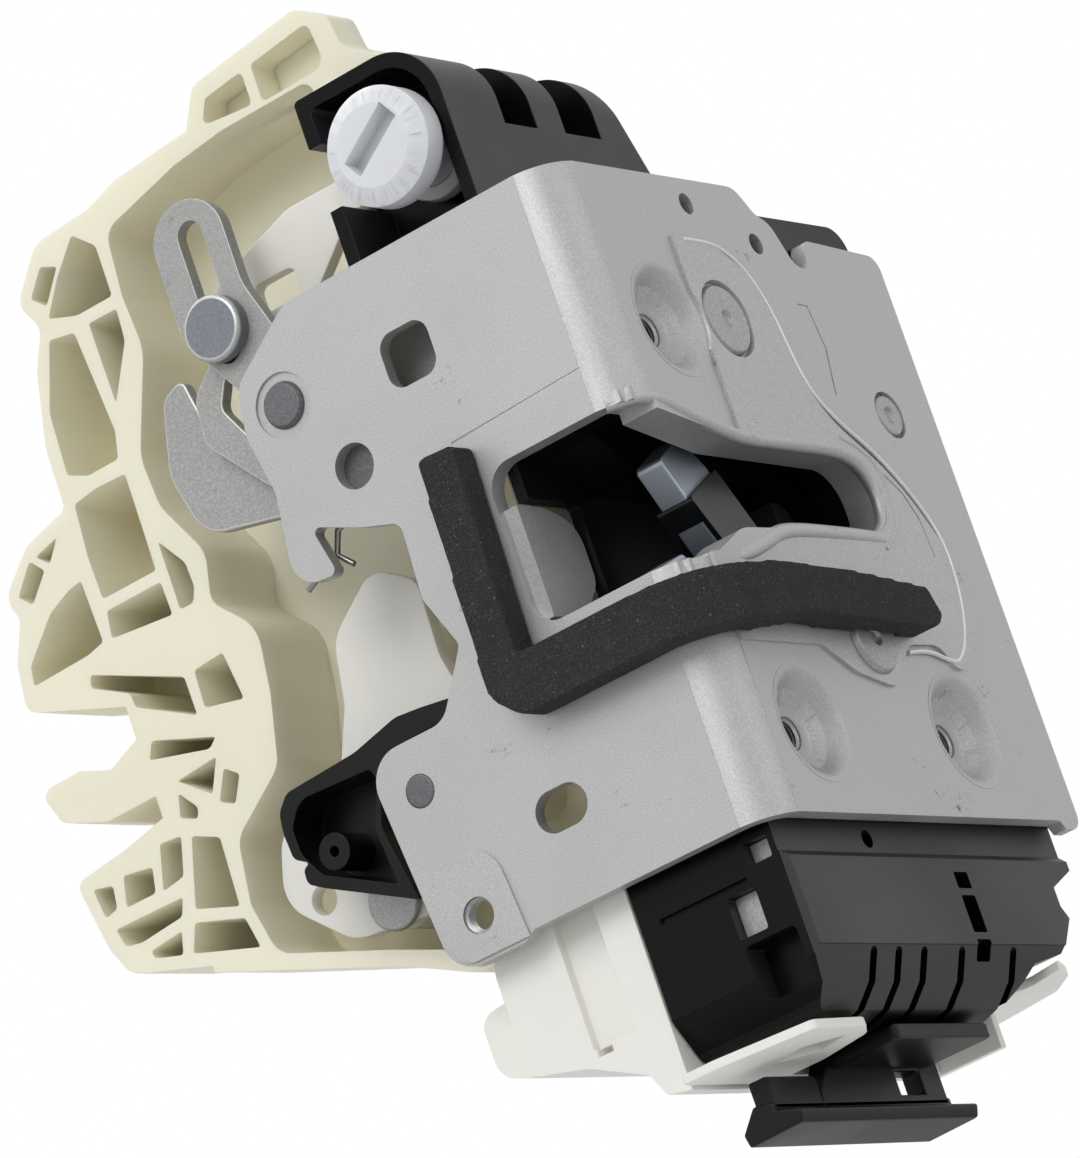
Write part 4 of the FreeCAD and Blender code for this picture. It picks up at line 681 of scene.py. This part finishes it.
@dataclass
class Levers:
    """The pressed levers, their stud and their spring."""

    def build(self) -> None:
        """Dress the levers."""
        for node, form in (("slot_lever", self.shortened()), ("stud_lever", None),
                           ("sector_lever", self.lobed())):
            softened(node, Finish.BLASTED, 0.00035, Finish.BLASTED_EDGE, 40, form=form)
        softened("stud", Finish.STUD, 0.00025, Finish.BLASTED_EDGE)
        softened("swivel_pin", Finish.DARK_RIVET, 0.0002, form=joined(
            copied("swivel_pin"), round_bar(Side.Y, 2.28, 2.52, (-44.0, 69.0), 3.8)))
        softened("lever_spring", Finish.WIRE, 0.00005, limit=80)

    def shortened(self) -> bmesh.types.BMesh:
        """The slotted lever, with its rounded end close above the slot."""
        bm = copied("slot_lever")
        bmesh.ops.translate(bm, vec=(0, 0, -0.0062), verts=[
            vert for vert in bm.verts if vert.co.z > at(0, 0, 116).z])
        return bm

    def lobed(self) -> bmesh.types.BMesh:
        """The lever behind, with the arm that passes behind the plate's window."""
        return joined(copied("sector_lever"), slab(Side.Y, 7.75, 9.75, [
            (-38.4, 70.0), (-32.0, 73.0), (-29.0, 86.0), (-40.0, 87.6), (-41.4, 75.0)], 1.0))


@dataclass
class Case:
    """The ivory case with its ribs and shallow ear, its cover and the flange below."""

    rim: float = 13.0
    floor: float = 29.2
    cells: tuple[OUTLINE, ...] = (
        [(-84.9, 124.2), (-81.6, 121.0), (-81.6, 113.2), (-88.2, 113.2), (-93.0, 114.9),
         (-89.3, 119.8)],
        [(-86.8, 111.3), (-81.6, 111.2), (-81.9, 106.4), (-86.6, 98.8)],
        [(-89.6, 111.2), (-88.2, 95.3), (-89.2, 91.4), (-94.9, 91.4), (-98.2, 92.9),
         (-97.8, 102.3), (-94.0, 112.0)],
        [(-91.6, 122.4), (-88.9, 121.2), (-92.6, 116.7), (-94.8, 118.8)],
        [(-94.3, 89.2), (-88.9, 89.0), (-89.0, 74.2), (-99.0, 74.2), (-99.2, 80.6),
         (-98.6, 88.6)],
        [(-87.2, 77.8), (-84.0, 73.2), (-83.8, 69.4), (-84.8, 67.4), (-87.2, 67.4)],
        [(-107.7, 84.5), (-103.2, 85.6), (-105.7, 82.6)],
        [(-108.9, 84.4), (-106.9, 82.1), (-110.6, 78.4), (-112.6, 80.4)],
        [(-99.0, 72.4), (-88.9, 72.4), (-88.7, 67.3), (-99.6, 68.4)],
        [(-101.6, 78.2), (-101.2, 68.6), (-104.3, 67.9), (-114.7, 67.6), (-114.2, 70.5),
         (-108.3, 76.0), (-104.0, 77.8)],
        [(-105.0, 65.2), (-90.1, 58.5), (-90.0, 52.6), (-99.4, 57.8), (-99.6, 60.0),
         (-105.6, 63.4)],
        [(-88.2, 58.6), (-82.8, 59.0), (-81.8, 51.6), (-88.4, 53.0)],
        [(-98.6, 52.4), (-88.2, 48.6), (-89.8, 47.4), (-100.0, 50.0)],
        [(-88.6, 44.0), (-86.4, 42.2), (-88.6, 38.6), (-91.0, 39.9)],
        [(-96.6, 45.4), (-89.2, 46.0), (-91.7, 41.4)],
        [(-97.1, 43.8), (-94.7, 40.7), (-95.3, 39.2), (-98.1, 40.4)],
        [(-110.2, 36.8), (-105.1, 36.0), (-105.9, 32.4), (-111.3, 32.4)],
        [(-102.7, 38.5), (-98.9, 38.1), (-100.6, 32.7), (-104.6, 32.1)],
        [(-115.8, 37.0), (-112.4, 36.2), (-112.9, 32.9), (-115.2, 32.4)],
        [(-114.2, 30.3), (-101.8, 30.1), (-102.9, 27.6), (-110.7, 26.9), (-113.4, 27.4)],
        [(-109.6, 25.2), (-103.7, 25.8), (-104.7, 22.6), (-109.4, 24.0)],
        [(-97.2, 37.4), (-92.8, 35.4), (-93.2, 25.2), (-100.4, 27.7)],
        [(-101.2, 26.0), (-93.0, 23.4), (-92.0, 18.6), (-103.0, 22.1)])

    def build(self) -> None:
        """Dress the case, its cover and the flange."""
        softened("actuator_case", Finish.IVORY, 0.0003, form=self.case())
        softened("actuator_cover", Finish.IVORY, 0.0003)
        softened("base_flange", Finish.WHITE, 0.0003, form=self.flange())

    def case(self) -> bmesh.types.BMesh:
        """The case, cut out between its ribs, with a shallow ear."""
        ear = slab(Side.Y, 20.6, 34.0, [
            (-66.0, 129.9), (-61.0, 129.4), (-46.0, 130.2), (-33.0, 128.9), (-26.6, 125.6),
            (-26.6, 140.0), (-66.0, 140.0)])
        bm = carved(copied("actuator_case"), ear,
                    *[slab(Side.Y, self.rim, self.floor, cell, 0.5) for cell in self.cells])
        return joined(bm, slab(Side.Y, 19.6, 21.0, [
            (-62.2, 127.6), (-60.9, 129.4), (-57.7, 134.2), (-38.6, 136.4), (-34.0, 133.6),
            (-33.2, 128.4), (-30.0, 126.4), (-48.0, 126.8)]))

    def flange(self) -> bmesh.types.BMesh:
        """The plate under the skirt: a left arm, and a right arm that lies higher."""
        low, high = -27.5, -26.2
        left = carved(slab(Side.Z, low, high, [
            (-27.6, 1.4), (-21.9, 1.2), (-7.4, 4.2), (-6.6, 15.8), (-9.4, 20.2), (-18.8, 23.6),
            (-24.4, 23.6), (-24.4, 64.0), (-27.6, 64.0)], 0.8),
            slab(Side.Z, low - 1, high + 1, [
                (-20.4, 13.0), (-14.4, 11.4), (-10.0, 15.8), (-15.6, 17.8)], 0.5))
        return joined(left, slab(Side.Z, -28.0, -20.2, rect(-27.6, 62.6, -14.0, 64.0)),
                      slab(Side.Z, -21.5, -20.2, [
                          (-27.6, 62.6), (-14.0, 62.6), (-8.0, 65.4), (-1.4, 62.9), (-3.8, 68.9),
                          (-9.6, 75.2), (-27.6, 80.4)], 0.8))


@dataclass
class BlackParts:
    """The housing with its skirt, the hood, the two brackets and the switch."""

    def build(self) -> None:
        """Dress the black mouldings, with painted sheen and painted shade on faces chosen by the
        way they turn.
        """
        bm = self.housing()
        below = at(0, 0, 1).z
        for face in bm.faces:
            # Faces turned to +X take the grey-black painted sheen.
            if face.normal.x > 0.6 and face.calc_center_median().z < below:
                face.material_index = 1
            # Faces turned to -Y take the darker painted shade.
            elif face.normal.y < -0.8 and face.calc_center_median().z < below:
                face.material_index = 2
        skirt = softened("latch_housing", Finish.BLACK, 0.0004, form=bm)
        skirt.data.materials.append(Finish.SHOULDER.material)
        skirt.data.materials.append(Finish.GLOSS.material)
        bm = copied("coupling_hood")
        for face in bm.faces:
            # Faces turned to +X or upwards take the grey-black painted sheen; the rest stay very
            # dark.
            if face.normal.x > 0.25 or face.normal.z > 0.5:
                face.material_index = 1
        hood = softened("coupling_hood", Finish.GLOSS, 0.0005, form=bm)
        hood.data.materials.append(Finish.SHOULDER.material)
        finished("window_metal", joined(
            slab(Side.Y, 6.1, 6.7, rect(-13.7, -12.6, -9.2, -7.0), 0.3),
            slab(Side.Y, 6.1, 6.7, rect(-8.9, -4.1, -5.1, -1.3), 0.3)),
            "frame", Finish.RIVET, "steel")
        softened("cable_bracket", Finish.BLACK, 0.0005, form=self.cable_bracket())
        softened("plug_bracket", Finish.BLACK, 0.0004, form=self.plug_bracket())
        softened("ajar_switch", Finish.BLACK, 0.0003)

    def housing(self) -> bmesh.types.BMesh:
        """The housing, its skirt cut with its steps, windows and gills."""
        bm = carved(
            copied("latch_housing"),
            slab(Side.Y, 3.0, 81.0, [
                (-4.0, 0.5), (-4.0, -3.9), (-3.0, -4.9), (-2.0, -4.9), (-2.0, 0.5)]),
            slab(Side.X, -29.0, -1.0, [
                (53.0, -28.0), (54.0, -25.9), (61.6, -19.6), (68.6, -18.4), (73.2, -13.4),
                (71.9, -11.6), (71.9, -8.8), (79.0, -5.8), (82.0, -5.8), (82.0, -28.0)]),
            slab(Side.Y, 2.0, 6.8, rect(-13.8, -12.7, -9.1, -6.9), 0.4),
            slab(Side.Y, 2.0, 6.8, rect(-9.0, -4.2, -5.0, -1.2), 0.3),
            slab(Side.Y, 2.0, 8.8, rect(-13.6, -21.4, -5.2, -13.8), 0.8),
            slab(Side.Y, 2.0, 5.0, rect(-24.6, -6.1, -9.8, -5.3)))
        bm = carved(bm, slab(Side.Y, 2.0, 81.0, [
            (-2.0, -16.8), (-3.2, -17.4), (-5.4, -21.8), (-8.4, -24.6), (-12.5, -25.9),
            (-12.5, -28.0), (-2.0, -28.0)]))
        return carved(
            bm, round_bar(Side.X, -5.4, -2.0, (28.0, -1.9), 1.3),
            *[slab(Side.X, -9.0, -2.0, rect(45.8, low, 49.4, high), 0.3)
              for low, high in ((-9.2, -6.8), (-15.6, -10.2), (-19.4, -16.6))],
            *[slab(Side.X, -14.0, -2.0, rect(y - 0.85, -28.0, y + 0.85, -17.6), 0.7)
              for y in (18.9, 25.3, 31.9, 41.8, 55.5)])

    def cable_bracket(self) -> bmesh.types.BMesh:
        """The bracket beside the plate's short leg: a deep rim round a pocket with a boss."""
        bm = carved(slab(Side.Y, 4.2, 13.2, [
            (-42.7, 34.9), (-44.9, 32.9), (-48.6, 32.6), (-55.9, 32.1), (-58.6, 29.5),
            (-60.9, 23.1), (-58.8, 11.8), (-72.8, 19.3), (-75.1, 20.8), (-75.0, 23.0),
            (-73.7, 23.4), (-76.0, 24.8), (-76.3, 28.8), (-75.9, 31.6), (-73.8, 33.7),
            (-61.3, 34.4), (-53.4, 36.2), (-49.1, 35.8)], 0.8),
            slab(Side.Y, 3.0, 11.0, [
                (-72.8, 31.1), (-71.2, 31.9), (-59.8, 31.3), (-59.2, 29.6), (-62.0, 23.4),
                (-61.2, 15.1), (-72.2, 21.0), (-73.0, 22.2), (-74.5, 24.9), (-74.6, 28.8)], 0.6))
        boss = carved(round_bar(Side.Y, 4.8, 11.6, (-69.7, 23.4), 2.6),
                      round_bar(Side.Y, 4.0, 9.0, (-69.7, 23.4), 0.75))
        return joined(bm, boss)

    def plug_bracket(self) -> bmesh.types.BMesh:
        """The bracket under the latch: a head, a web with a window, a ledge and a block."""
        web = carved(slab(Side.X, -23.0, -20.0, [
            (26.6, -26.6), (54.4, -26.6), (54.4, -35.4), (20.9, -35.4), (22.4, -31.0)]),
            slab(Side.X, -24.0, -19.0, rect(42.7, -32.2, 49.0, -28.9)))
        return joined(
            web, slab(Side.Z, -28.4, -26.2, rect(-23.0, 27.0, -9.0, 52.0), 1.0),
            slab(Side.Y, 9.0, 55.0, [
                (-20.0, -32.8), (-20.0, -34.0), (-16.2, -35.2), (-16.8, -37.0), (-25.5, -37.3),
                (-25.9, -35.4), (-23.2, -32.4)]),
            slab(Side.Y, 9.4, 22.0, rect(-23.0, -35.0, -20.0, -29.2), 0.4))


@dataclass
class PaleParts:
    """The white block, the key coupling, the lock arm and the inner handle's link."""

    key: tuple[float, float] = (-23.6, 107.2)

    def build(self) -> None:
        """Dress the pale mouldings."""
        softened("switch_cover", Finish.WHITE, 0.0005, form=self.block())
        softened("worm_wheel", Finish.WHITE, 0.0002)
        softened("key_coupling", Finish.MILKY, 0.0003, limit=30, form=self.coupling())
        softened("lock_arm", Finish.LINK, 0.0004)
        softened("release_link", Finish.LINK, 0.0005)

    def block(self) -> bmesh.types.BMesh:
        """The white block, with its set-back bump and its recess."""
        return carved(copied("switch_cover"),
                      slab(Side.Y, 3.0, 7.0, rect(-60.0, -20.0, -51.2, 4.0)),
                      slab(Side.Y, 3.0, 5.6, rect(-40.3, -17.4, -33.4, 4.0)),
                      slab(Side.Y, 3.0, 7.2, rect(-39.9, -18.6, -37.4, -17.4)))

    def coupling(self) -> bmesh.types.BMesh:
        """The key coupling, with its disc drawn in towards a smaller face."""
        bm = copied("key_coupling")
        middle, front = at(self.key[0], 0, self.key[1]), at(0, -2.3, 0).y
        for vert in bm.verts:
            out = Vector((vert.co.x - middle.x, vert.co.z - middle.z))
            if vert.co.y < front and out.length > 0.0064:
                out *= 0.0058 / out.length
                vert.co.x, vert.co.z = middle.x + out.x, middle.z + out.y
        return bm


@dataclass
class Works:
    """The motor, its gears, the plug's blades and the screws behind."""

    def build(self) -> None:
        """Dress the small works."""
        for node, finish in (("lock_motor", Finish.RIVET), ("motor_worm", Finish.BRASS),
                             ("wheel_pin", Finish.RIVET), ("link_pin", Finish.RIVET),
                             ("cover_screws", Finish.BLASTED), ("terminals", Finish.BRASS)):
            softened(node, finish, 0.00015)


@dataclass
class FoamSeal:
    """The foam strip round the mouth."""

    voxel: float = 0.0004
    swell: float = 0.00006

    def build(self) -> None:
        """Round the strip's cut edges and roughen them."""
        bm = copied("foam_seal")
        piece = finished("foam_strip", bm, "frame", Finish.FOAM, "foam", smooth=80)
        remesh = piece.modifiers.new("remesh", "REMESH")
        remesh.mode = "VOXEL"
        remesh.voxel_size = self.voxel
        even = piece.modifiers.new("even", "SMOOTH")
        even.iterations = 1
        even.factor = 0.5
        texture = bpy.data.textures.new("foam_lumps", "CLOUDS")
        texture.noise_scale = 0.0016
        lumps = piece.modifiers.new("lumps", "DISPLACE")
        lumps.texture = texture
        lumps.strength = self.swell * 2
        lumps.mid_level = 0.5
        lumps.texture_coords = "LOCAL"
        shape = piece.evaluated_get(bpy.context.evaluated_depsgraph_get())
        mesh = bpy.data.meshes.new_from_object(shape)
        piece.modifiers.clear()
        piece.data = mesh
        if not mesh.materials:
            mesh.materials.append(Finish.FOAM.material)
        mesh.shade_smooth()
        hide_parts("foam_seal")


@dataclass
class Studio:
    """The pale floor, the white surround, the soft lamps and the camera."""

    lens: float = 233.2
    eye: tuple[float, float, float] = (0.4671, -0.8660, -0.2275)
    right: tuple[float, float, float] = (0.7716, 0.5532, -0.3141)
    up: tuple[float, float, float] = (0.4041, -0.0449, 0.9136)
    back: tuple[float, float, float] = (0.4913, -0.8318, -0.2582)
    floor: float = -0.55
    lamps: dict[str, tuple[tuple[float, float, float], float, float]] = field(
        default_factory=lambda: {
            "key": ((0.10, -1.30, 0.90), 0.9, 11.0),
            "side": ((1.50, 0.10, 0.25), 0.9, 1.6),
            "top": ((-0.60, 0.20, 1.30), 0.9, 7.0)})

    def build(self) -> None:
        """Set the stage."""
        self.surround()
        self.ground()
        for name, (place, size, power) in self.lamps.items():
            self.lamp(name, place, size, power)
        self.camera()
        bpy.context.scene.view_settings.view_transform = "Standard"

    def surround(self) -> None:
        """A white background that lights the object softly."""
        world = bpy.data.worlds.new("surround")
        bpy.context.scene.world = world
        world.use_nodes = True
        nodes, links = world.node_tree.nodes, world.node_tree.links
        path = nodes.new("ShaderNodeLightPath")
        seen = path.outputs["Is Camera Ray"]
        for ray in ("Is Transmission Ray", "Is Glossy Ray"):
            either = nodes.new("ShaderNodeMath")
            either.operation = "MAXIMUM"
            links.new(seen, either.inputs[0])
            links.new(path.outputs[ray], either.inputs[1])
            seen = either.outputs[0]
        level = nodes.new("ShaderNodeMapRange")
        level.inputs["To Min"].default_value = 0.52
        level.inputs["To Max"].default_value = 1.0
        links.new(seen, level.inputs["Value"])
        back = nodes["Background"]
        back.inputs["Color"].default_value = (1, 1, 1, 1)
        links.new(level.outputs[0], back.inputs["Strength"])

    def ground(self) -> None:
        """A pale floor well below the part."""
        bm = bmesh.new()
        bmesh.ops.create_grid(bm, x_segments=1, y_segments=1, size=4.0)
        bmesh.ops.translate(bm, vec=(0, 0, self.floor), verts=bm.verts)
        mesh = bpy.data.meshes.new("floor")
        bm.to_mesh(mesh)
        bm.free()
        shader = Shader("pale_floor")
        shader.set(Base_Color=(0.82, 0.82, 0.82, 1), Roughness=0.9)
        mesh.materials.append(shader.material)
        floor = bpy.data.objects.new("floor", mesh)
        bpy.context.collection.objects.link(floor)

    def lamp(self, name: str, place: tuple[float, float, float], size: float,
             power: float) -> None:
        """A soft square lamp that faces the part."""
        data = bpy.data.lights.new(name, "AREA")
        data.size = size
        data.energy = power
        lamp = bpy.data.objects.new(name, data)
        lamp.location = place
        aim = Vector((-0.02, 0.0, 0.03)) - Vector(place)
        lamp.rotation_euler = aim.to_track_quat("-Z", "Y").to_euler()
        bpy.context.collection.objects.link(lamp)

    def camera(self) -> None:
        """The photograph's view."""
        data = bpy.data.cameras.new("camera")
        data.lens = self.lens
        data.sensor_width = 36.0
        data.sensor_fit = "AUTO"
        data.clip_start = 0.05
        camera = bpy.data.objects.new("camera", data)
        axes = Matrix((self.right, self.up, self.back)).transposed()
        camera.matrix_world = Matrix.Translation(Vector(self.eye)) @ axes.to_4x4()
        bpy.context.collection.objects.link(camera)
        bpy.context.scene.camera = camera


def main() -> None:
    """Build every sub-assembly and the studio, and log each as it is built."""
    logging.basicConfig(level=logging.INFO, format="%(name)s: %(message)s")
    for maker in (Studio(), FacePlate(), Claw(), Levers(), Case(), BlackParts(), PaleParts(),
                  Works(), FoamSeal()):
        maker.build()
        log.info("%s is built", type(maker).__name__)


if __name__ == "__main__":
    main()
